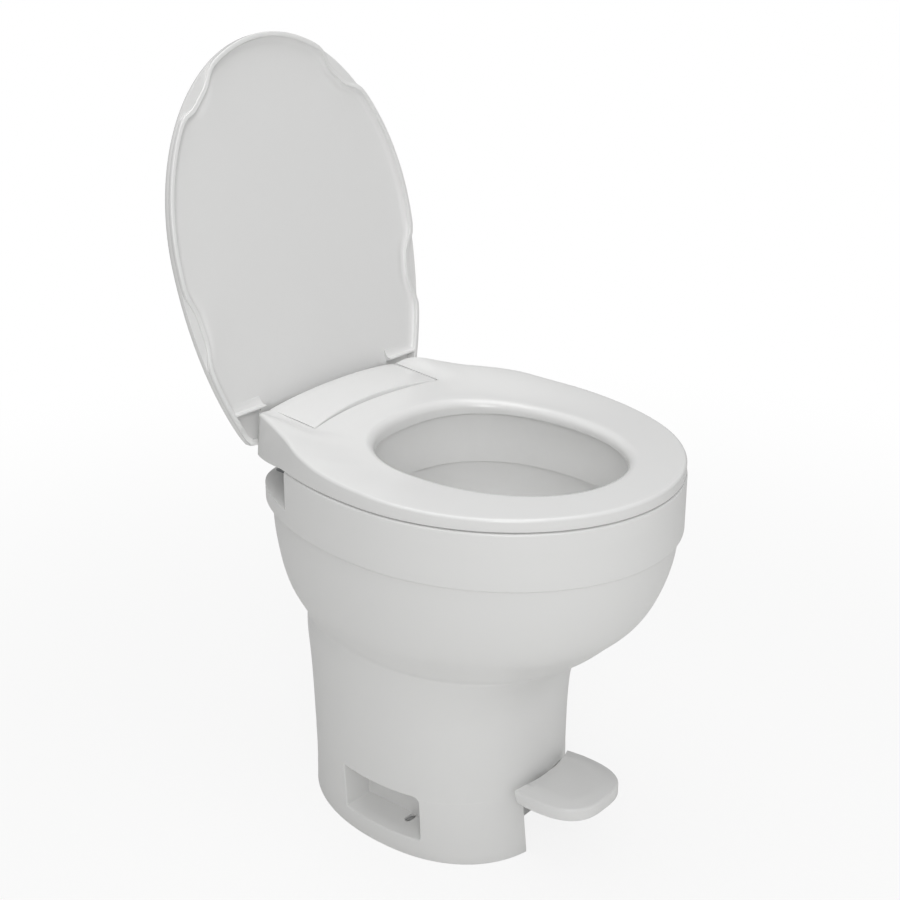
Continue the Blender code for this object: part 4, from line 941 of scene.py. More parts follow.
    def pocket_outline(self, grow: float) -> Points:
        """The pocket's mouth in (y, z), its corners round, grown by an offset.

        Args:
            grow: the offset.

        Returns:
            Its points, once round.
        """
        low_y, high_y = self.pocket_front_y - grow, self.pocket_rear_y + grow
        low_z, high_z = self.pocket_bottom - grow, self.pocket_top + grow
        corners = ((low_y, high_z, 90), (high_y, high_z, 0), (high_y, low_z, 270), (low_y, low_z, 180))
        points = []
        arc_steps, side_steps = 6, 9
        for (y, z, start), radius in zip(corners, self.pocket_corners):
            radius += grow
            middle_y = y + radius if y == low_y else y - radius
            middle_z = z - radius if z == high_z else z + radius
            arc = []
            for i in range(arc_steps + 1):
                angle = math.radians(start + 90 - 90 * i / arc_steps)
                arc.append((middle_y + radius * math.cos(angle), middle_z + radius * math.sin(angle)))
            if points:
                points += self._side(points[-1], arc[0], side_steps)
            points += arc
        return points + self._side(points[-1], points[0], side_steps)

    @staticmethod
    def _side(start: tuple[float, float], end: tuple[float, float], steps: int) -> Points:
        """Points between two corners, without them."""
        shares = [i / steps for i in range(1, steps)]
        return [(between(start[0], end[0], s), between(start[1], end[1], s)) for s in shares]

    def pocket(self, side: int) -> bpy.types.Object:
        """The cutter of a side pocket, flared where it meets the shell so that its lip is round.

        Args:
            side: -1 or 1.

        Returns:
            The cutter.
        """
        flat = self.pocket_outline(0.0)
        rings = [[Vector((side * self.pocket_depth_x, y, z)) for y, z in flat]]
        steps = 5
        for i in range(steps + 1):
            turn = math.radians(80) * i / steps
            grown = self.pocket_outline(self.pocket_lip * (1 - math.cos(turn)))
            depth = self.pocket_lip * (1 - math.sin(turn))
            rings.append([Vector((side * (self.wall_x(y, z) - depth), y, z)) for y, z in grown])
        out = self.base_half + self.pocket_lip * 6
        rings.append([Vector((side * out, point.y, point.z)) for point in rings[-1]])
        return loft(f"pocket_{side}", rings)

    def pocket_casing(self, side: int) -> bpy.types.Object:
        """The casing that the pocket leaves inside the shell.

        Args:
            side: -1 or 1.

        Returns:
            The casing's solid.
        """
        grow = self.pocket_wall
        low_x, high_x = sorted((side * (self.pocket_depth_x - grow), side * self.crease_half * 1.2))
        low = (low_x, self.pocket_front_y - grow, self.pocket_bottom - grow)
        high = (high_x, self.pocket_rear_y + grow, self.pocket_top + grow)
        return block(f"pocket_casing_{side}", low, high)

    def bolt_slot(self, side: int) -> bpy.types.Object:
        """The slotted hole for a floor bolt.

        Args:
            side: -1 or 1.

        Returns:
            The cutter.
        """
        length, width = self.slot_size
        straight = (length - width) / 2
        outline = []
        for i in range(13):
            angle = math.pi * i / 12 - math.pi / 2
            outline.append((straight + width / 2 * math.cos(angle), width / 2 * math.sin(angle)))
        outline += [(-x, -y) for x, y in outline]
        x0, y0 = self.slot_place
        outline = [(side * x0 + x, y0 + y) for x, y in outline]
        heights = (-OVERRUN, self.pocket_bottom + OVERRUN)
        return loft(f"slot_{side}", [level_ring(outline, z) for z in heights])

    def floor_tools(self) -> list[bpy.types.Object]:
        """Cutters of the underside: recess, outlet, lever notch, inlet and screw holes.

        Returns:
            The cutters.
        """
        throat_y = self.plan.throat_y
        reach = self.recess_reach
        outline = []
        for angle in ring_angles(RECESS_POINTS):
            x, y = oval(angle, self.recess_half, reach, reach, self.recess_power, self.recess_power)
            outline.append((x, throat_y + y))
        recess = [level_ring(outline, z) for z in (-OVERRUN, self.floor_bottom)]
        front = self.center_y - self.base_front
        rear = self.center_y + self.base_rear
        notch_low = (self.notch_sides[0], front - OVERRUN, -OVERRUN)
        notch_high = (self.notch_sides[1], front + self.notch_depth, self.notch_height)
        inlet = (self.inlet_radius, rear - self.notch_depth, rear + OVERRUN)
        tools = [
            loft("recess", recess),
            rod("outlet", (0, throat_y, 0), "Z", self.outlet_radius, 0.0, self.floor_top + OVERRUN),
            block("lever_notch", notch_low, notch_high),
            rod("inlet", (0, 0, self.inlet_height), "Y", *inlet),
        ]
        for corner in range(4):
            angle = math.pi / 4 + math.pi / 2 * corner
            x, y = self.screw_ring * math.cos(angle), throat_y + self.screw_ring * math.sin(angle)
            ends = (self.floor_bottom - OVERRUN, self.floor_top + OVERRUN)
            tools.append(rod(f"plate_screw_{corner}", (x, y, 0), "Z", self.screw_hole, *ends, SCREW_POINTS))
        return tools

    def bosses(self) -> list[bpy.types.Object]:
        """Posts behind the rear wall that the deck screws bite into.

        Returns:
            The posts' solids.
        """
        made = []
        x0, y0 = self.boss_place
        top = self.plan.shell_top
        for side in SIDES:
            low = (side * x0 - self.boss_half, y0 - self.boss_half, top - self.boss_height)
            high = (side * x0 + self.boss_half, y0 + self.boss_half + OVERRUN, top + 2 * OVERRUN)
            made.append(block(f"boss_{side}", low, high))
        return made

    def build(self) -> None:
        """Model the shell, cut it open and place it."""
        cavity = shaped(
            self.cavity(),
            *((Operation.CUT, self.pocket_casing(side)) for side in SIDES),
            *((Operation.CUT, boss) for boss in self.bosses()),
        )
        x0, y0 = self.boss_place
        top = self.plan.shell_top
        ends = (top - self.boss_height / 2, top + OVERRUN)
        holes = [
            rod(f"boss_hole_{side}", (side * x0, y0, 0), "Z", self.screw_hole, *ends, SCREW_POINTS)
            for side in SIDES
        ]
        tools = [cavity]
        tools += [self.pocket(side) for side in SIDES]
        tools += [self.bolt_slot(side) for side in SIDES]
        tools += [*self.floor_tools(), *holes]
        shell = shaped(loft("pedestal_body", self.outer_rings()), *((Operation.CUT, tool) for tool in tools))
        soften(shell, self.edge_bevel, 55.0, 2)
        self.place(shell, Body.BASE, Slot.SHELL, "pedestal_shell")


@dataclass
class Bowl(Assembly):
    """Band, rim, lower rear deck, funnel and outlet throat in one moulding."""

    plan: RimPlan
    edge_bevel: float = 0.0020
    rim_wall: float = 0.005
    rim_roof: float = 0.004
    rim_round: float = 0.0022
    band_round: float = 0.0022
    skirt_bottom: float = 0.378
    skirt_round: float = 0.0012
    wall: float = 0.004
    throat_radius: float = 0.034
    throat_wall: float = 0.004
    flange_radius: float = 0.059
    flange_height: float = 0.004
    neck_height: float = 0.022
    housing_top: float = 0.128
    deck_start_y: float = 0.077
    deck_top: float = 0.3945
    deck_thickness: float = 0.0065
    deck_wall: float = 0.004
    boss_place: tuple = (0.062, 0.162)
    spacer_radius: float = 0.0056
    bolt_x: float = 0.0755
    breaker_y: float = 0.121
    breaker_radius: float = 0.0173
    nozzle_height: float = 0.362
    nozzle_radius: float = 0.0053
    nozzle_depths: tuple = (0.008, 0.024)
    screw_hole: float = 0.0024
    bolt_hole: float = 0.0033
    funnel_shares: tuple = (
        (0.0, 0.18, 0.36, 1.0),
        (0.20, 0.20, 0.36, 0.75),
        (0.40, 0.40, 0.58, 0.45),
        (0.62, 0.62, 0.84, 0.18),
        (0.84, 0.84, 1.02, 0.04),
        (0.965, 0.965, 1.04, 0.0),
        (1.0, 1.0, 1.035, 0.0),
    )

    @property
    def throat_top(self) -> float:
        """Where the funnel ends in the throat."""
        return self.housing_top + self.flange_height + self.neck_height

    def throat(self, height: float, radius: float) -> Ring:
        """A level ring about the throat."""
        y = self.plan.throat_y
        return [Vector((radius * math.sin(a), y - radius * math.cos(a), height)) for a in ring_angles()]

    def funnel(self, share: float, grow: float) -> Ring:
        """A ring of the bowl's inside at a share of its height, or of its outside when grown by the wall.

        Args:
            share: 0 is the throat and 1 the skirt.
            grow: how much wider it is.

        Returns:
            The ring.
        """
        plan = self.plan
        _, scale, to_throat = smooth_row(self.funnel_shares, share)
        to_throat = min(max(to_throat, 0.0), 1.0)
        height = between(self.throat_top, self.skirt_bottom, share)
        center = between(plan.bore_center_y, plan.throat_y, to_throat)
        reaches = []
        for reach in (plan.bore_half, plan.bore_front, plan.bore_rear):
            reaches.append(between(reach * scale, self.throat_radius, to_throat * 0.35) + grow)
        ring = []
        for angle in ring_angles():
            x, y = oval(angle, *reaches, plan.bore_front_power, between(plan.bore_power, 2.0, to_throat))
            ring.append(Vector((x, center + y, height)))
        return ring

    def rings(self) -> list[Ring]:
        """The section once round: band, rim, skirt, funnel, throat and back up the outside.

        Returns:
            The rings, in order.
        """
        plan = self.plan
        band_bottom = plan.shell_top + TOUCH_GAP
        top = plan.rim_top
        rings = [plan.ring(band_bottom + drop, inset) for inset, drop in reversed(rounding(self.band_round))]
        rings += [plan.ring(between(band_bottom, top, share)) for share in (0.3, 0.6)]
        rings += [plan.ring(top - drop, inset) for inset, drop in rounding(self.rim_round)]
        inner = rounding(self.rim_round)
        rings += [plan.bore(top - drop, inset) for inset, drop in reversed(inner)]
        rings += [plan.bore(between(top, self.skirt_bottom, share)) for share in (0.35, 0.7)]
        skirt = self.skirt_round
        rings += [plan.bore(self.skirt_bottom + drop, inset) for inset, drop in rounding(skirt, 4)]
        shares = [0.995, 0.985, *(between(0.965, 0.2, i / 22) for i in range(23))]
        rings += [self.funnel(share, 0.0) for share in shares]
        rings += [self.blend_ring(self.funnel(0.2, 0.0), i / 5, self.throat_radius) for i in range(1, 5)]
        seal_top = self.housing_top - TOUCH_GAP * 4
        flange_bottom = self.housing_top + TOUCH_GAP
        flange_top = flange_bottom + self.flange_height
        outer = self.throat_radius + self.throat_wall
        rings += [
            self.throat(self.throat_top, self.throat_radius),
            self.throat(seal_top, self.throat_radius),
            self.throat(seal_top, outer),
            self.throat(flange_bottom, outer + TOUCH_GAP * 3),
            self.throat(flange_bottom, self.flange_radius),
            self.throat(flange_top, self.flange_radius),
            self.throat(flange_top, outer),
            self.throat(self.throat_top, outer),
        ]
        rings += [self.funnel(share, self.wall) for share in (0.2, 0.3, 0.4, 0.5, 0.62, 0.74, 0.84, 0.965)]
        roof = top - self.rim_roof
        rings += [
            plan.bore(roof, self.wall + self.rim_round / 3),
            plan.ring(roof, self.rim_wall),
            plan.ring(band_bottom, self.rim_wall * 2),
        ]
        return rings

    def blend_ring(self, start: Ring, share: float, radius: float) -> Ring:
        """A ring between the funnel's last one and the throat, easing into the upright throat.

        Args:
            start: the funnel's last ring.
            share: how far it is towards the throat.
            radius: the throat's radius.

        Returns:
            The ring.
        """
        end = self.throat(self.throat_top, radius)
        eased = share * (2 - share)
        made = []
        for a, b in zip(start, end):
            x, y = between(a.x, b.x, eased), between(a.y, b.y, eased)
            made.append(Vector((x, y, between(a.z, b.z, share))))
        return made

    def build(self) -> None:
        """Model the bowl, lower its rear deck, pierce it and place it."""
        plan = self.plan
        far = plan.half_width + OVERRUN
        rear = far + plan.rear_cut
        start = self.deck_start_y
        clearing = block("deck_clearing", (-far, start, self.deck_top), (far, rear, plan.rim_top + OVERRUN))
        inset = self.rim_wall / 2
        low = self.deck_top - self.deck_thickness
        deck = loft("deck_plate", [plan.ring(z, inset) for z in (low, self.deck_top)])
        area = block("deck_area", (-far, start - self.deck_wall, 0), (far, rear, plan.rim_top))
        shaped(deck, (Operation.KEEP, area))
        low = self.deck_top - self.deck_thickness * 0.7
        high = plan.rim_top - self.rim_roof / 2
        wall = loft("deck_wall_plate", [plan.ring(z, inset) for z in (low, high)])
        area = block("wall_area", (-far, start - self.deck_wall, 0), (far, start, plan.rim_top + OVERRUN))
        shaped(wall, (Operation.KEEP, area))
        x0, y0 = self.boss_place
        top = plan.shell_top
        steps = [(Operation.CUT, clearing), (Operation.JOIN, deck), (Operation.JOIN, wall)]
        spacer = (self.spacer_radius, top + TOUCH_GAP, self.deck_top - self.deck_thickness / 2)
        for side in SIDES:
            steps.append((Operation.JOIN, rod(f"spacer_{side}", (side * x0, y0, 0), "Z", *spacer)))
        hole = (self.deck_top - 3 * OVERRUN, self.deck_top + OVERRUN)
        screw = (self.screw_hole, top - OVERRUN, self.deck_top + OVERRUN, SCREW_POINTS)
        bolt = (self.bolt_hole, *hole, BOLT_POINTS)
        back = plan.bore_center_y + plan.bore_rear
        nozzle = (self.nozzle_radius, back - self.nozzle_depths[0], back + self.nozzle_depths[1])
        cutters = []
        for side in SIDES:
            cutters.append(rod(f"screw_hole_{side}", (side * x0, y0, 0), "Z", *screw))
            cutters.append(rod(f"bolt_hole_{side}", (side * self.bolt_x, plan.hinge_y, 0), "Z", *bolt))
        cutters.append(rod("breaker_hole", (0, self.breaker_y, 0), "Z", self.breaker_radius, *hole))
        cutters.append(rod("nozzle_hole", (0, 0, self.nozzle_height), "Y", *nozzle))
        steps += [(Operation.CUT, cutter) for cutter in cutters]
        bowl = shaped(loft("bowl_moulding", self.rings(), closed=True), *steps)
        soften(bowl, self.edge_bevel, 50.0, 4)
        self.place(bowl, Body.BASE, Slot.SHELL, "bowl")


@dataclass
class Seat(Assembly):
    """The closed-front ring, dished a little, rising and thickening to its two rear arms.

    side_rows hold places along the ring, how much higher its outer edge is there than the section's middle,
    how far that edge leans in, and how far the arm's underside hangs down behind the rim.
    """

    plan: RimPlan
    edge_bevel: float = 0.0007
    gap: float = 0.0016
    inset: float = 0.001
    front_thickness: float = 0.0129
    rise: float = 0.0142
    rise_start_y: float = -0.024
    rise_end_y: float = 0.166
    rise_power: float = 1.5
    edge_round: float = 0.0034
    foot_round: float = 0.0008
    bore_half: float = 0.112
    bore_front: float = 0.143
    bore_rear: float = 0.123
    bore_round: float = 0.009
    bore_power: float = 2.4
    rear_cut: float = 0.2135
    reach_extra: float = 0.0105
    softness: float = 0.0014
    arm_inner_x: float = 0.1002
    arm_outer_x: float = 0.124
    notch_y: float = 0.0967
    notch_bow: float = 0.0135
    pin_radius: float = 0.0045
    pin_end_x: float = 0.1279
    bumper_radius: float = 0.0073
    bumper_depth: float = 0.003
    bumper_share: float = 0.86
    bumper_ys: tuple = (-0.174, 0.046)
    hang_y: float = 0.080
    side_rows: tuple = (
        (-0.265, 0.0, 0.0, 0.0),
        (-0.150, 0.0, 0.0, 0.0),
        (-0.090, 0.0014, 0.0, 0.0),
        (-0.030, 0.0045, 0.0, 0.0),
        (0.014, 0.0062, 0.0006, 0.0),
        (0.038, 0.0076, 0.0018, 0.0),
        (0.064, 0.0076, 0.0050, 0.0),
        (0.080, 0.0072, 0.0080, 0.0),
        (0.103, 0.0060, 0.0110, 0.0042),
        (0.130, 0.0058, 0.0098, 0.0100),
        (0.148, 0.0050, 0.0060, 0.0145),
        (0.166, 0.0, 0.0014, 0.0195),
    )

    @property
    def bottom(self) -> float:
        """Height of the ring's flat underside."""
        return self.plan.rim_top + self.gap

    def top(self, y: float) -> float:
        """Height of the ring's top along its length."""
        share = min(max((y - self.rise_start_y) / (self.rise_end_y - self.rise_start_y), 0.0), 1.0)
        return self.bottom + self.front_thickness + self.rise * share**self.rise_power

    def edge_row(self, y: float) -> list[float]:
        """Raise, lean and hang of the outer edge at this place along the ring."""
        return smooth_row(self.side_rows, min(y, self.side_rows[-1][0]))

    def lift(self, x: float, y: float) -> float:
        """How much the outer edge is raised here, less so towards the arms' inner sides.

        Args:
            x: place across.
            y: place along.

        Returns:
            The extra height.
        """
        lift = self.edge_row(y)[0]
        near = 1 - ramp(abs(x), self.arm_inner_x - 0.004, self.arm_outer_x)
        return max(lift, 0.0) * (1 - near * ramp(y, self.notch_y - 0.03, self.notch_y))

    def edge_point(self, angle: float, inset: float) -> tuple[float, float]:
        """A point of the outline, moved in by an inset.

        Args:
            angle: 0 is the front.
            inset: how far it is moved in.

        Returns:
            The point's x and y.
        """
        plan = self.plan
        rear = plan.rear_reach + self.reach_extra - inset
        x, y = oval(angle, plan.half_width - inset, plan.front_reach - inset, rear)
        return x, plan.widest_y + soft_limit(y, self.rear_cut - inset, self.softness)

    def side(self, inset: float, drop: float) -> Ring:
        """The outer side at a drop below its leaning top edge.

        Args:
            inset: how far it is moved in.
            drop: how far it is under the edge.

        Returns:
            The ring.
        """
        ring = []
        for angle in ring_angles():
            _, y = self.edge_point(angle, self.inset + inset)
            lean = max(self.edge_row(y)[1], 0.0)
            x, y = self.edge_point(angle, self.inset + inset + lean)
            ring.append(Vector((x, y, self.top(y) + self.lift(x, y) - drop)))
        return ring

    def foot(self, inset: float, rise: float) -> Ring:
        """The outer side at its foot, which hangs lower on the arms.

        Args:
            inset: how far it is moved in.
            rise: its height over the foot.

        Returns:
            The ring.
        """
        ring = []
        for angle in ring_angles():
            x, y = self.edge_point(angle, self.inset + inset)
            hang = max(self.edge_row(y)[2], 0.0)
            ring.append(Vector((x, y, self.bottom - (hang if y > self.hang_y else 0.0) + rise)))
        return ring

    def bore(self, grow: float, drop: float | None = None, height: float | None = None) -> Ring:
        """The inner side, at a drop below the top or at a level height.

        Args:
            grow: how much wider it is.
            drop: how far it is under the top.
            height: a level height in place of the drop.

        Returns:
            The ring.
        """
        ring = []
        for angle in ring_angles():
            reach = (self.bore_half + grow, self.bore_front + grow, self.bore_rear + grow)
            x, y = oval(angle, *reach, self.plan.bore_front_power, self.bore_power)
            y += self.plan.bore_center_y
            ring.append(Vector((x, y, self.top(y) - drop if height is None else height)))
        return ring

    def rings(self) -> list[Ring]:
        """The section once round, from the outer foot over the top to the inner foot.

        Returns:
            The rings, in order.
        """
        base = self.bottom
        foot = rounding(self.foot_round, 3)
        rings = [self.foot(inset, drop) for inset, drop in reversed(foot)]
        rings += [self.side(inset, drop) for inset, drop in rounding(self.edge_round, 7)]
        outer, inner = rings[-1], self.bore(self.bore_round, 0.0)
        steps = 12
        for i in range(1, steps):
            ring = []
            for a, b in zip(outer, inner):
                point = a.lerp(b, i / steps)
                full = self.lift(a.x, a.y) * (1 - ramp(i / steps, 0.0, 1.0))
                keep = self.lift(point.x, point.y) / max(self.lift(2 * point.x, point.y), TOUCH_GAP)
                point.z = self.top(point.y) + full * min(keep, 1.0)
                ring.append(point)
            rings.append(ring)
        rings += [self.bore(inset, drop) for inset, drop in reversed(rounding(self.bore_round, 8))]
        rings += [self.bore(inset, height=base + drop) for inset, drop in foot]
        under = []
        for a, b in zip(self.foot(0.0, 0.0), self.bore(0.0, height=base)):
            share = (self.hang_y - b.y) / (a.y - b.y) if a.y > self.hang_y else 0.5
            point = b.lerp(a, share)
            under.append(Vector((point.x, point.y, base)))
        return [*rings, under]

    def notch(self) -> bpy.types.Object:
        """The cutter of the space between the arms, its front bowed like the cover's.

        Returns:
            The cutter.
        """
        steps = 40
        outline = []
        for i in range(steps + 1):
            x = between(-self.arm_inner_x, self.arm_inner_x, i / steps)
            outline.append((x, self.notch_y + self.notch_bow * (1 - (x / self.arm_inner_x) ** 2)))
        far = self.plan.hinge_y + self.plan.rear_cut
        outline += [(self.arm_inner_x, far), (-self.arm_inner_x, far)]
        heights = (self.plan.rim_top - self.rise * 2, self.plan.rim_top + 0.04)
        return loft("cover_notch", [level_ring(outline, z) for z in heights])

    def bumper_places(self) -> Points:
        """Where the four bumpers sit under the ring.

        Returns:
            Their x and y: front right, front left, rear right, rear left.
        """
        plan = self.plan
        places = []
        for y in self.bumper_ys:
            reach = plan.front_reach if y < plan.widest_y else plan.rear_reach
            half = plan.half_width * math.sqrt(1 - ((y - plan.widest_y) / reach) ** 2)
            places += [(-half * self.bumper_share, y), (half * self.bumper_share, y)]
        return places

    def build(self) -> None:
        """Model the ring, cut its notch, pin bores and bumper pockets, add the bumpers and place them."""
        tools = [self.notch()]
        for side in SIDES:
            ends = sorted((side * (self.arm_inner_x - OVERRUN), side * self.pin_end_x))
            center = (0, self.plan.hinge_y, self.plan.hinge_z)
            tools.append(rod(f"pin_bore_{side}", center, "X", self.pin_radius, *ends))
        ends = (self.bottom - OVERRUN, self.bottom + self.bumper_depth)
        for i, place in enumerate(self.bumper_places()):
            tools.append(rod(f"bumper_pocket_{i}", (*place, 0), "Z", self.bumper_radius, *ends))
        seat = shaped(loft("seat_moulding", self.rings(), closed=True), *((Operation.CUT, t) for t in tools))
        soften(seat, self.edge_bevel, 50.0)
        self.place(seat, Body.SEAT, Slot.SEAT, "seat_ring")
        low = self.plan.rim_top + TOUCH_GAP
        high = self.bottom + self.bumper_depth - TOUCH_GAP
        radius = self.bumper_radius - TOUCH_GAP
        profile = [(0.0, high), (radius, high), (radius, low + 0.0012), (radius * 0.93, low + 0.0004)]
        profile += [(radius * 0.8, low), (0.0, low)]
        words = ("front_right", "front_left", "rear_right", "rear_left")
        for word, (x, y) in zip(words, self.bumper_places()):
            bumper = turned(f"bumper_{word}", profile, (x, y, 0))
            self.place(bumper, Body.SEAT, Slot.RUBBER, f"seat_bumper_{word}")


@dataclass
class Lid(Assembly):
    """The dished lid, modelled closed and turned open about the hinge."""

    plan: RimPlan
    open_degrees: float = 105.2
    edge_bevel: float = 0.0008
    half_width: float = 0.1785
    front_reach: float = 0.2153
    rear_reach: float = 0.295
    rear_cut: float = 0.2205
    corner_cut: float = 0.202
    corner_x: tuple = (0.101, 0.117)
    softness: float = 0.004
    front_rise: float = 0.0123
    hinge_rise: float = 0.0295
    lip_depth: float = 0.0085
    lip_round: float = 0.0012
    skin: float = 0.0026
    wall: float = 0.0052
    back_round: float = 0.004
    fillet: float = 0.009
    dome: float = 0.013
    panel_dome: float = 0.006
    panel_drop: float = 0.0015
    flange: float = 0.0038
    shelf_edge: float = 0.0002
    scallop_depth: float = 0.0105
    scallop_sink: float = 0.0032
    scallop_places: tuple = ((38.0, 0.145), (103.8, 0.115))
    arm_clearance: float = 0.0277
    arm_half_x: float = 0.1270
    side_clearance: float = 0.0235
    cover_clearance: float = 0.034
    center_half: float = 0.100
    relief_inner_x: float = 0.0815
    relief_front: float = 0.0225
    rear_relief: float = 0.020
    rib_y: float = 0.1180
    rib_thickness: float = 0.0030
    rib_fillet: float = 0.009
    hollow_rise: float = 0.0026
    hollow_wall: float = 0.0008
    rib_end_x: float = 0.1462
    center_bottom: float = 0.4763
    ear_inner_x: float = 0.0715
    ear_thickness: float = 0.0085
    ear_radius: float = 0.0085
    ear_top: float = 0.0062
    ear_drop: float = 0.0015
    post: tuple = (0.0258, 0.0298, 0.0300)
    pin_radius: float = 0.0045

    def level(self, y: float) -> float:
        """Height of the lid's edge plane along its length.

        Args:
            y: place along the closed lid.

        Returns:
            The height.
        """
        plan = self.plan
        front = plan.widest_y - self.front_reach
        share = (y - front) / (plan.hinge_y - front)
        return plan.hinge_z + between(self.front_rise, self.hinge_rise, share)

    def scallop(self, angle: float) -> float:
        """How far the wall bows in at this angle, for the fingers.

        Args:
            angle: 0 is the front.

        Returns:
            The depth.
        """
        depth = 0.0
        for place, spread in self.scallop_places:
            for side in SIDES:
                away = math.remainder(angle - side * math.radians(place), math.tau)
                depth += self.scallop_depth * math.exp(-((away / spread) ** 4))
        return depth

    def cut(self, x: float) -> float:
        """Where the lid ends behind its widest place: less far back at its corners than in the middle."""
        return between(self.rear_cut, self.corner_cut, ramp(abs(x), *self.corner_x))

    def ring(
        self, inset: float, offset: float, scallops: float = 0.0, share: float = 1.0, sink: float = 0.0
    ) -> Ring:
        """A ring of the lid.

        Args:
            inset: how far it is moved in from the outline.
            offset: its height over the edge plane.
            scallops: 1 follows the finger scallops, 0 doesn't.
            share: its size as a share of the outline's.
            sink: how much nearer the panel it is at the scallops.

        Returns:
            The ring's points.
        """
        plan = self.plan
        middle_y = plan.widest_y + (self.rear_cut - self.front_reach) / 2
        ring = []
        for angle in ring_angles():
            bow = self.scallop(angle)
            move = inset + scallops * bow
            x, y = oval(angle, self.half_width - move, self.front_reach - move, self.rear_reach - move)
            y = plan.widest_y + soft_limit(y, self.cut(x) - move, self.softness)
            y = middle_y + (y - middle_y) * share
            rise = offset + sink * bow / self.scallop_depth
            ring.append(Vector((x * share, y, self.level(y) + rise)))
        return ring

    def rings(self) -> list[Ring]:
        """From the middle of the panel out to the lip, round it, and back over the dome.

        Returns:
            The rings, in order.
        """
        shares = (0.03, 0.10, 0.20, 0.30, 0.40, 0.50, 0.60, 0.70, 0.80, 0.88, 0.94, 0.975)
        wall, fillet, lip = self.wall, self.fillet, self.lip_round
        rings = []
        for share in shares:
            rise = self.panel_dome * (1 - share**2)
            rings.append(self.ring(wall + fillet, rise - self.panel_drop, ramp(share, 0.6, 1.0), share))
        foot = -self.lip_depth
        edge = [(inset, drop) for inset, drop in rounding(fillet, 7)]
        depth_scale = (self.lip_depth - self.panel_drop - lip) / fillet
        for inset, drop in reversed(edge):
            height = -self.panel_drop - drop * min(depth_scale, 1.0)
            sink = self.scallop_sink * (fillet - inset) / fillet
            rings.append(self.ring(wall + inset, height, 1.0, sink=sink))
        for inset, drop in rounding(lip, 3):
            sink = self.scallop_sink * (1 + inset / wall)
            rings.append(self.ring(wall - inset, foot + drop, 1.0, sink=sink))
        for inset, drop in reversed(rounding(lip, 3)):
            rings.append(self.ring(inset, foot + drop, 1.0, sink=self.scallop_sink))
        shelf = -self.flange
        rings.append(self.ring(0.0, shelf - self.shelf_edge * 3, 1.0))
        rings.append(self.ring(self.shelf_edge * 2, shelf, 1.0))
        rings.append(self.ring(self.shelf_edge, shelf))
        rings.append(self.ring(0.0, shelf + self.skin * 0.4))
        back = rounding(self.back_round, 5)
        for inset, drop in back:
            rings.append(self.ring(inset, self.skin + self.dome * 0.1 - drop))
        for share in reversed(shares):
            rise = self.dome * (1 - share**2) + self.skin
            rings.append(self.ring(self.back_round, rise, 0.0, share))
        return rings

    def ear(self, side: int) -> bpy.types.Object:
        """An arm from the pin back under the cover and up to the lid's rear edge.

        Args:
            side: -1 or 1.

        Returns:
            The arm's solid.
        """
        y, z = self.plan.hinge_y, self.plan.hinge_z
        low_x, high_x = sorted((side * self.ear_inner_x, side * (self.ear_inner_x + self.ear_thickness)))
        ear = rod(f"ear_{side}", (0, y, z), "X", self.ear_radius, low_x, high_x)
        front, rear, top = self.post
        gap = TOUCH_GAP
        low = (low_x + gap, y, z - self.ear_drop)
        bar = block(f"ear_bar_{side}", low, (high_x - gap, y + rear, z + self.ear_top))
        low = (low_x + 2 * gap, y + front, z - self.ear_drop + gap)
        post = block(f"ear_post_{side}", low, (high_x - 2 * gap, y + rear - gap, z + top))
        bore = rod(f"ear_bore_{side}", (0, y, z), "X", self.pin_radius, low_x - OVERRUN, high_x + OVERRUN)
        return shaped(ear, (Operation.JOIN, bar), (Operation.JOIN, post), (Operation.CUT, bore))

    def rib(self, side: int) -> bpy.types.Object:
        """A wall across the lid in front of an arm's hollow, with a fillet towards the panel.

        Args:
            side: -1 or 1.

        Returns:
            The rib's solid.
        """
        y, thick, fillet = self.rib_y, self.rib_thickness, self.rib_fillet
        lip = self.level(y) - self.lip_depth
        panel = self.level(y) - self.panel_drop
        outline = [(y, panel + TOUCH_GAP * 4), (y, lip + self.lip_round)]
        outline += [(y - inset, lip + drop) for inset, drop in rounding(self.lip_round, 3)[1:]]
        outline += [(y - thick + inset, lip + drop) for inset, drop in reversed(rounding(self.lip_round, 3))]
        height = panel - lip - self.lip_round
        for i in range(1, 9):
            turn = math.pi / 2 * i / 8
            back = fillet * (1 - math.cos(turn))
            outline.append((y - thick - back, panel - height * (1 - math.sin(turn))))
        outline.append((y - thick - fillet, panel + TOUCH_GAP * 4))
        ends = (self.center_half + TOUCH_GAP, self.rib_end_x)
        return loft(f"rib_{side}", [[Vector((side * x, v, w)) for v, w in outline] for x in ends])

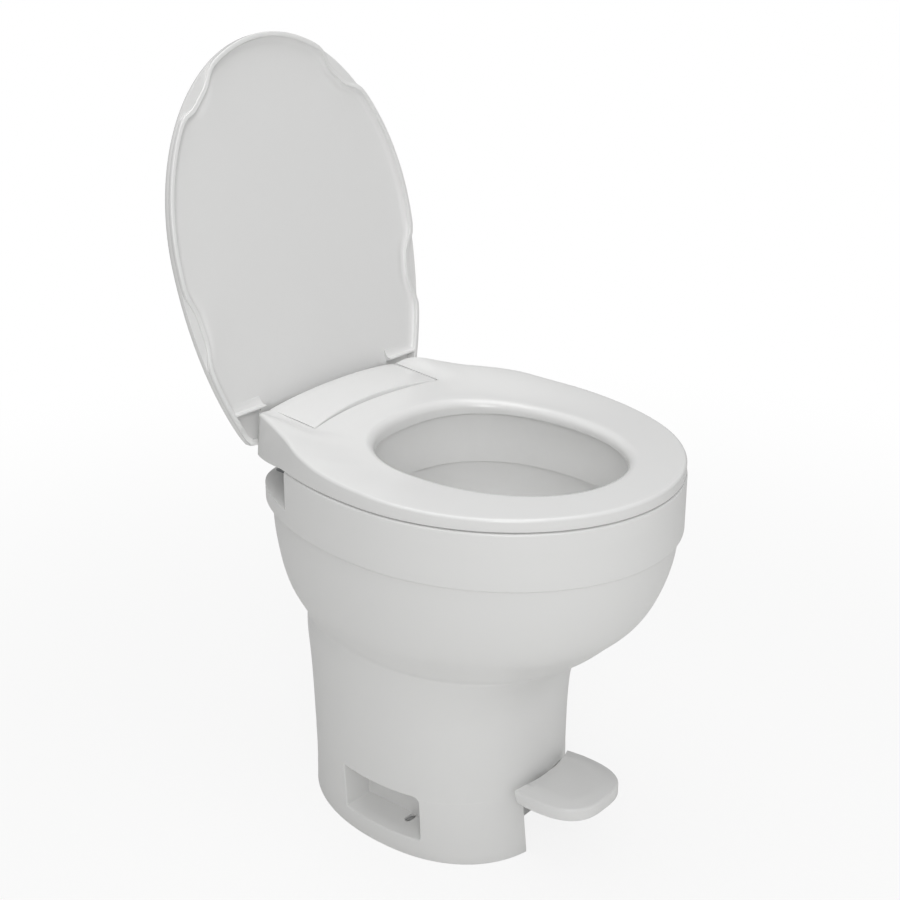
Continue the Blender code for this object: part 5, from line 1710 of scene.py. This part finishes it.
    def reliefs(self) -> list[bpy.types.Object]:
        """Cutters that clear the seat's arms, the hinge cover and the brackets.

        Returns:
            The cutters.
        """
        y, z = self.plan.hinge_y, self.plan.hinge_z
        center, far = self.center_half, self.plan.half_width + self.plan.rear_cut
        low = z - self.cover_clearance * 2
        tools = [
            rod("arm_relief", (0, y, z), "X", self.arm_clearance, -self.arm_half_x, self.arm_half_x, 96),
            rod("side_relief", (0, y, z), "X", self.side_clearance, -self.half_width, self.half_width, 96),
            rod("cover_relief", (0, y, z), "X", self.cover_clearance, -center, center, 96),
            block("rear_relief", (-center, y + self.rear_relief, low), (center, far, self.center_bottom)),
        ]
        roof = self.level(y) + self.hollow_rise
        for side in SIDES:
            low_x, high_x = sorted((side * self.relief_inner_x, side * (center + TOUCH_GAP)))
            high = (high_x, far, self.center_bottom)
            tools.append(block(f"bracket_relief_{side}", (low_x, y - self.relief_front, low), high))
            inset = self.wall + self.hollow_wall
            levels = [self.ring(inset, offset, 1.0) for offset in (-self.lip_depth * 2, self.hollow_rise)]
            hollow = loft(f"arm_hollow_{side}", levels)
            low_x, high_x = sorted((side * (center + TOUCH_GAP * 3), side * self.half_width))
            area = block("hollow_area", (low_x, self.rib_y + TOUCH_GAP, low), (high_x, far, roof + OVERRUN))
            tools.append(shaped(hollow, (Operation.KEEP, area)))
        return tools

    def build(self) -> None:
        """Model the lid closed, join its ears, turn it open and place it."""
        steps = [(Operation.JOIN, self.rib(side)) for side in SIDES]
        steps += [(Operation.CUT, tool) for tool in self.reliefs()]
        steps += [(Operation.JOIN, self.ear(side)) for side in SIDES]
        lid = shaped(loft("lid_moulding", self.rings()), *steps)
        axis = Vector((0, self.plan.hinge_y, self.plan.hinge_z))
        turn = Matrix.Rotation(math.radians(-self.open_degrees), 4, "X")
        lid.data.transform(Matrix.Translation(axis) @ turn @ Matrix.Translation(-axis))
        soften(lid, self.edge_bevel, 50.0)
        self.place(lid, Body.LID, Slot.SEAT, "lid")


@dataclass
class HingeCover(Assembly):
    """The fixed, crowned strip between the seat's arms."""

    plan: RimPlan
    half_width: float = 0.0983
    edge_bevel: float = 0.0006
    front_y: float = 0.0985
    rear_y: float = 0.165
    front_height: float = 0.459
    rear_height: float = 0.465
    crown: float = 0.005
    side_drop: float = 0.0016
    belly: float = 0.0006
    thickness: float = 0.0028
    front_drop: float = 0.008
    front_bow: float = 0.0125
    edge: float = 0.0016
    rib_width: float = 0.009
    rib_half: float = 0.0085

    def section(self, x: float) -> Ring:
        """The strip's outline in y and z at one place across it.

        Args:
            x: the place across.

        Returns:
            The outline.
        """
        share = x / self.half_width
        arch = 1 - share**2
        sink = self.side_drop * abs(share) ** 3
        front = self.front_y + self.front_bow * arch
        front_top = self.front_height + self.crown * arch - sink * 0.4
        rear_top = self.rear_height + self.crown * arch - sink
        low = self.front_height - self.front_drop
        outline = [(front, low), (front, between(low, front_top - self.edge, 0.5))]
        outline += [(front + inset, front_top - drop) for inset, drop in rounding(self.edge, 4)]
        for i in range(1, 6):
            along = i / 6
            belly = self.belly * math.sin(math.pi * along)
            outline.append((between(front, self.rear_y, along), between(front_top, rear_top, along) + belly))
        rear_edge = reversed(rounding(self.edge, 4))
        outline += [(self.rear_y - inset, rear_top - drop) for inset, drop in rear_edge]
        under = self.thickness
        outline += [
            (self.rear_y, rear_top - under - self.edge),
            (self.rear_y - self.edge, rear_top - under - self.edge),
            (self.rear_y - self.edge, rear_top - under),
            (front + self.edge, front_top - under),
            (front + self.edge, low),
        ]
        return [Vector((x, y, z)) for y, z in outline]

    def build(self) -> None:
        """Model the strip with its two ribs and place it."""
        steps = 48
        stations = [between(-self.half_width, self.half_width, i / steps) for i in range(steps + 1)]
        cover = loft("hinge_cover_strip", [self.section(x) for x in stations])
        joined = []
        for side in SIDES:
            outer = self.half_width - self.edge
            low_x, high_x = sorted((side * (outer - self.rib_width), side * outer))
            y = self.plan.hinge_y
            low = (low_x, y - self.rib_half, self.plan.hinge_z + self.rib_half + TOUCH_GAP)
            high = (high_x, y + self.rib_half, self.front_height + self.thickness)
            joined.append((Operation.JOIN, block(f"cover_rib_{side}", low, high)))
        shaped(cover, *joined)
        soften(cover, self.edge_bevel, 50.0)
        self.place(cover, Body.BASE, Slot.SEAT, "hinge_cover")


@dataclass
class Pedal(Assembly):
    """The half-moon foot pad."""

    pedestal: Pedestal
    center_x: float = 0.004
    half: float = 0.053
    front_y: float = -0.2125
    corner_y: float = -0.1425
    bottom: float = 0.072
    edge_height: float = 0.0125
    crown: float = 0.0045
    wall_gap: float = 0.0012
    back_limit: float = -0.128
    power: float = 3.0
    undercut: float = 0.011
    edge_round: float = 0.0032
    foot_round: float = 0.0012
    crown_start: float = 0.45
    crown_reach: float = 0.016
    crown_back: float = 0.0012
    corner_hold: float = 0.8
    back_span: float = 0.96
    screw_place: tuple = (0.008, -0.169)
    screw_depth: float = 0.0795
    screw_hole: float = 0.0024

    def wall_front_y(self, x: float) -> float:
        """The front of the pedestal's base at this place across it.

        Args:
            x: the place across.

        Returns:
            The front's y.
        """
        shell = self.pedestal
        share = abs(x / shell.base_half) ** shell.front_power
        return shell.center_y - shell.base_front * (1 - share) ** (1 / shell.front_power)

    def ring(self, height: float, inset: float, undercut: float, back_inset: float = 0.0) -> Ring:
        """An arc in front, and behind it a line that follows the column's wall.

        Args:
            height: height over the floor.
            inset: how far the arc is moved in.
            undercut: how far the back leans away from the wall.
            back_inset: how far the back is moved in.

        Returns:
            The ring.
        """
        half = self.half - inset
        arc_points, back_points = 96, 40
        reach = self.corner_y - self.front_y - inset
        power = 2 / self.power
        ring = []
        for i in range(arc_points):
            angle = math.pi * (i + 0.5) / arc_points
            x = half * math.copysign(abs(math.cos(angle)) ** power, math.cos(angle))
            y = self.corner_y - reach * math.sin(angle) ** power
            ring.append(Vector((self.center_x + x, y, height)))
        for i in range(back_points):
            along = between(-self.back_span, self.back_span, i / (back_points - 1))
            x = self.center_x + half * along
            clear = self.wall_gap + back_inset + undercut * (1 - self.corner_hold * along**4)
            ring.append(Vector((x, min(self.wall_front_y(x) - clear, self.back_limit), height)))
        return ring

    def build(self) -> None:
        """Model the pad with its rounded edge and soft crown, and place it."""
        top = self.bottom + self.edge_height
        radius = self.edge_round
        rings = []
        for inset, drop in reversed(rounding(self.foot_round, 3)):
            rings.append(self.ring(self.bottom + drop, inset, self.undercut, inset))
        rings.append(self.ring(between(self.bottom, top, 0.5), 0.0, self.undercut * 0.45))
        for inset, drop in rounding(radius, 6):
            rings.append(self.ring(top + self.crown * self.crown_start - drop, inset, 0.0))
        for i in range(1, 6):
            share = i / 5
            lift = self.crown * between(self.crown_start, 1.0, math.sin(math.pi / 2 * share))
            inset = radius + self.crown_reach * share
            rings.append(self.ring(top + lift, inset, 0.0, self.crown_back * share))
        pad = loft("pedal_tread", rings)
        x0, y0 = self.screw_place
        hole = (self.screw_hole, self.bottom - OVERRUN, self.screw_depth, SCREW_POINTS)
        cutters = [rod(f"pad_hole_{side}", (side * x0, y0, 0), "Z", *hole) for side in SIDES]
        shaped(pad, *((Operation.CUT, cutter) for cutter in cutters))
        self.place(pad, Body.PEDAL, Slot.SEAT, "pedal_pad")


@dataclass
class Mechanism(Assembly):
    """The pieces inside, kept as the solids they are and given their finishes."""

    nodes: dict[str, bpy.types.Object]
    slots: dict[str, str]
    bodies: dict[str, str]
    edge_bevel: float = 0.0003
    trimmed: str = "pedal_arm"
    trim_low: tuple = (-0.03, -0.22, 0.0)
    trim_high: tuple = (0.03, -0.1345, 0.0675)

    def build(self) -> None:
        """Smooth and dress every solid that no moulding stands for."""
        for name in sorted(self.nodes):
            node = self.nodes[name]
            if node.hide_render:
                continue
            slot = Slot(self.slots[name])
            mesh = bmesh.new()
            mesh.from_mesh(node.data)
            bmesh.ops.remove_doubles(mesh, verts=mesh.verts, dist=TOUCH_GAP * 0.1)
            bmesh.ops.dissolve_limit(mesh, angle_limit=math.radians(1.0), verts=mesh.verts, edges=mesh.edges)
            piece = piece_from(f"{name}_part", mesh, 40.0)
            if name == self.trimmed:
                shaped(piece, (Operation.CUT, block("tongue_trim", self.trim_low, self.trim_high)))
            soften(piece, self.edge_bevel, 50.0, 2)
            self.place(piece, Body(self.bodies[name]), slot, name)


@dataclass
class Studio:
    """A pale floor, soft light and the camera at the photograph's angle."""

    LAMPS = {
        "overhead_box": ((-0.1, 0.15, 2.7), 1.8, 24.0),
        "front_box": ((-0.7, -1.2, 2.3), 1.6, 5.0),
        "camera_side_box": ((-1.7, -1.4, 1.5), 0.9, 15.0),
        "low_front_panel": ((0.5, -1.9, 0.45), 1.3, 3.0),
    }

    light_target: tuple = (0.0, 0.0, 0.40)
    floor_color: tuple = (0.86, 0.86, 0.85, 1.0)
    camera_place: tuple = (-1.2255, -1.0064, 1.0621)
    camera_target: tuple = (-0.0183, -0.0070, 0.4359)
    sensor: float = 36.0
    focal_pixels: float = 1621.0
    frame_pixels: float = 900.0
    shift_pixels: float = 7.6
    surround: float = 0.30
    floor_size: float = 60.0
    floor_glow: float = 0.86
    fade_start: float = 0.45
    fade_end: float = 1.6

    def camera(self) -> None:
        """Set the scene's camera."""
        data = bpy.data.cameras.new("photo_view")
        data.sensor_width = self.sensor
        data.lens = self.focal_pixels / self.frame_pixels * self.sensor
        data.shift_x = self.shift_pixels / self.frame_pixels
        data.dof.use_dof = False
        obj = linked("photo_view", data)
        bpy.context.scene.camera = self.aimed(obj, self.camera_place, self.camera_target)

    @staticmethod
    def aimed(obj: bpy.types.Object, place: tuple, target: tuple) -> bpy.types.Object:
        """Put a camera or lamp at a place and aim it at a point.

        Args:
            obj: the camera or lamp.
            place: where it stands.
            target: what it is aimed at.

        Returns:
            The same object.
        """
        obj.location = place
        obj.rotation_euler = (Vector(target) - Vector(place)).to_track_quat("-Z", "Y").to_euler()
        return obj

    def lamp(self, name: str, place: tuple, size: float, power: float) -> None:
        """A square soft light aimed at the object.

        Args:
            name: the lamp's name.
            place: where it hangs.
            size: length of its sides.
            power: its power in watts.
        """
        data = bpy.data.lights.new(name, "AREA")
        data.shape = "SQUARE"
        data.size = size
        data.energy = power
        self.aimed(linked(name, data), place, self.light_target)

    @staticmethod
    def seen(nodes: bpy.types.Nodes, links: bpy.types.NodeLinks) -> bpy.types.NodeSocket:
        """A mask of the rays that show the floor or the surround as such: camera and glass rays.

        Args:
            nodes: the tree's nodes.
            links: the tree's links.

        Returns:
            The socket that holds the mask.
        """
        path = nodes.new("ShaderNodeLightPath")
        either = nodes.new("ShaderNodeMath")
        either.operation = "ADD"
        either.use_clamp = True
        links.new(path.outputs["Is Camera Ray"], either.inputs[0])
        links.new(path.outputs["Is Transmission Ray"], either.inputs[1])
        return either.outputs[0]

    def world(self) -> None:
        """White to the eye, and a softer pale gray as a light."""
        world = bpy.data.worlds.new("pale_surround")
        bpy.context.scene.world = world
        world.use_nodes = True
        nodes, links = world.node_tree.nodes, world.node_tree.links
        light = nodes["Background"]
        set_inputs(light, {"Color": (1.0, 1.0, 1.0, 1.0), "Strength": self.surround})
        white = nodes.new("ShaderNodeBackground")
        set_inputs(white, {"Color": (1.0, 1.0, 1.0, 1.0)})
        mix = nodes.new("ShaderNodeMixShader")
        links.new(self.seen(nodes, links), mix.inputs["Fac"])
        links.new(light.outputs[0], mix.inputs[1])
        links.new(white.outputs[0], mix.inputs[2])
        links.new(mix.outputs[0], nodes["World Output"].inputs["Surface"])

    def floor(self) -> None:
        """A pale floor that shows almost white and keeps the object's shadow."""
        mesh = bmesh.new()
        bmesh.ops.create_grid(mesh, x_segments=1, y_segments=1, size=self.floor_size / 2)
        bmesh.ops.translate(mesh, vec=(0, 0, -TOUCH_GAP), verts=mesh.verts)
        floor = piece_from("studio_floor", mesh)
        material = bpy.data.materials.new("pale_floor")
        material.use_nodes = True
        nodes, links = material.node_tree.nodes, material.node_tree.links
        shader = nodes["Principled BSDF"]
        set_inputs(shader, {"Base Color": self.floor_color, "Roughness": 0.9, "Specular IOR Level": 0.0})
        glow = nodes.new("ShaderNodeEmission")
        coordinates = nodes.new("ShaderNodeTexCoord")
        distance = nodes.new("ShaderNodeVectorMath")
        distance.operation = "LENGTH"
        links.new(coordinates.outputs["Object"], distance.inputs[0])
        fade = nodes.new("ShaderNodeMapRange")
        fade.interpolation_type = "SMOOTHSTEP"
        set_inputs(fade, {"From Min": self.fade_start, "From Max": self.fade_end})
        set_inputs(fade, {"To Min": self.floor_glow, "To Max": 1.0})
        links.new(distance.outputs["Value"], fade.inputs["Value"])
        share = nodes.new("ShaderNodeMath")
        share.operation = "MULTIPLY"
        links.new(fade.outputs["Result"], share.inputs[1])
        links.new(self.seen(nodes, links), share.inputs[0])
        mix = nodes.new("ShaderNodeMixShader")
        links.new(share.outputs[0], mix.inputs["Fac"])
        links.new(shader.outputs[0], mix.inputs[1])
        links.new(glow.outputs[0], mix.inputs[2])
        links.new(mix.outputs[0], nodes["Material Output"].inputs["Surface"])
        floor.data.materials.append(material)

    def build(self) -> None:
        """Set up the view, the surround, the lights and the floor."""
        bpy.context.scene.view_settings.view_transform = "Standard"
        self.camera()
        self.world()
        for name, (place, size, power) in self.LAMPS.items():
            self.lamp(name, place, size, power)
        self.floor()


def main(frame: dict) -> None:
    """Build the studio and every sub-assembly in order.
    """
    logging.basicConfig(level=logging.INFO, format="%(name)s: %(message)s")
    record = frame["record"]
    bodies = {node: body for body, group in record["behaviour"]["bodies"].items() for node in group}
    slots = {part["node"]: part["material_slot"] for part in record["subparts"]}
    Studio().build()
    paint = Paint()
    plan = RimPlan()
    pedestal = Pedestal(paint, plan)
    pedestal.build()
    Bowl(paint, plan).build()
    Seat(paint, plan).build()
    Lid(paint, plan).build()
    HingeCover(paint, plan).build()
    Pedal(paint, pedestal).build()
    Mechanism(paint, frame["nodes"], slots, bodies).build()


if __name__ == "__main__":
    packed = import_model()
    main(packed)
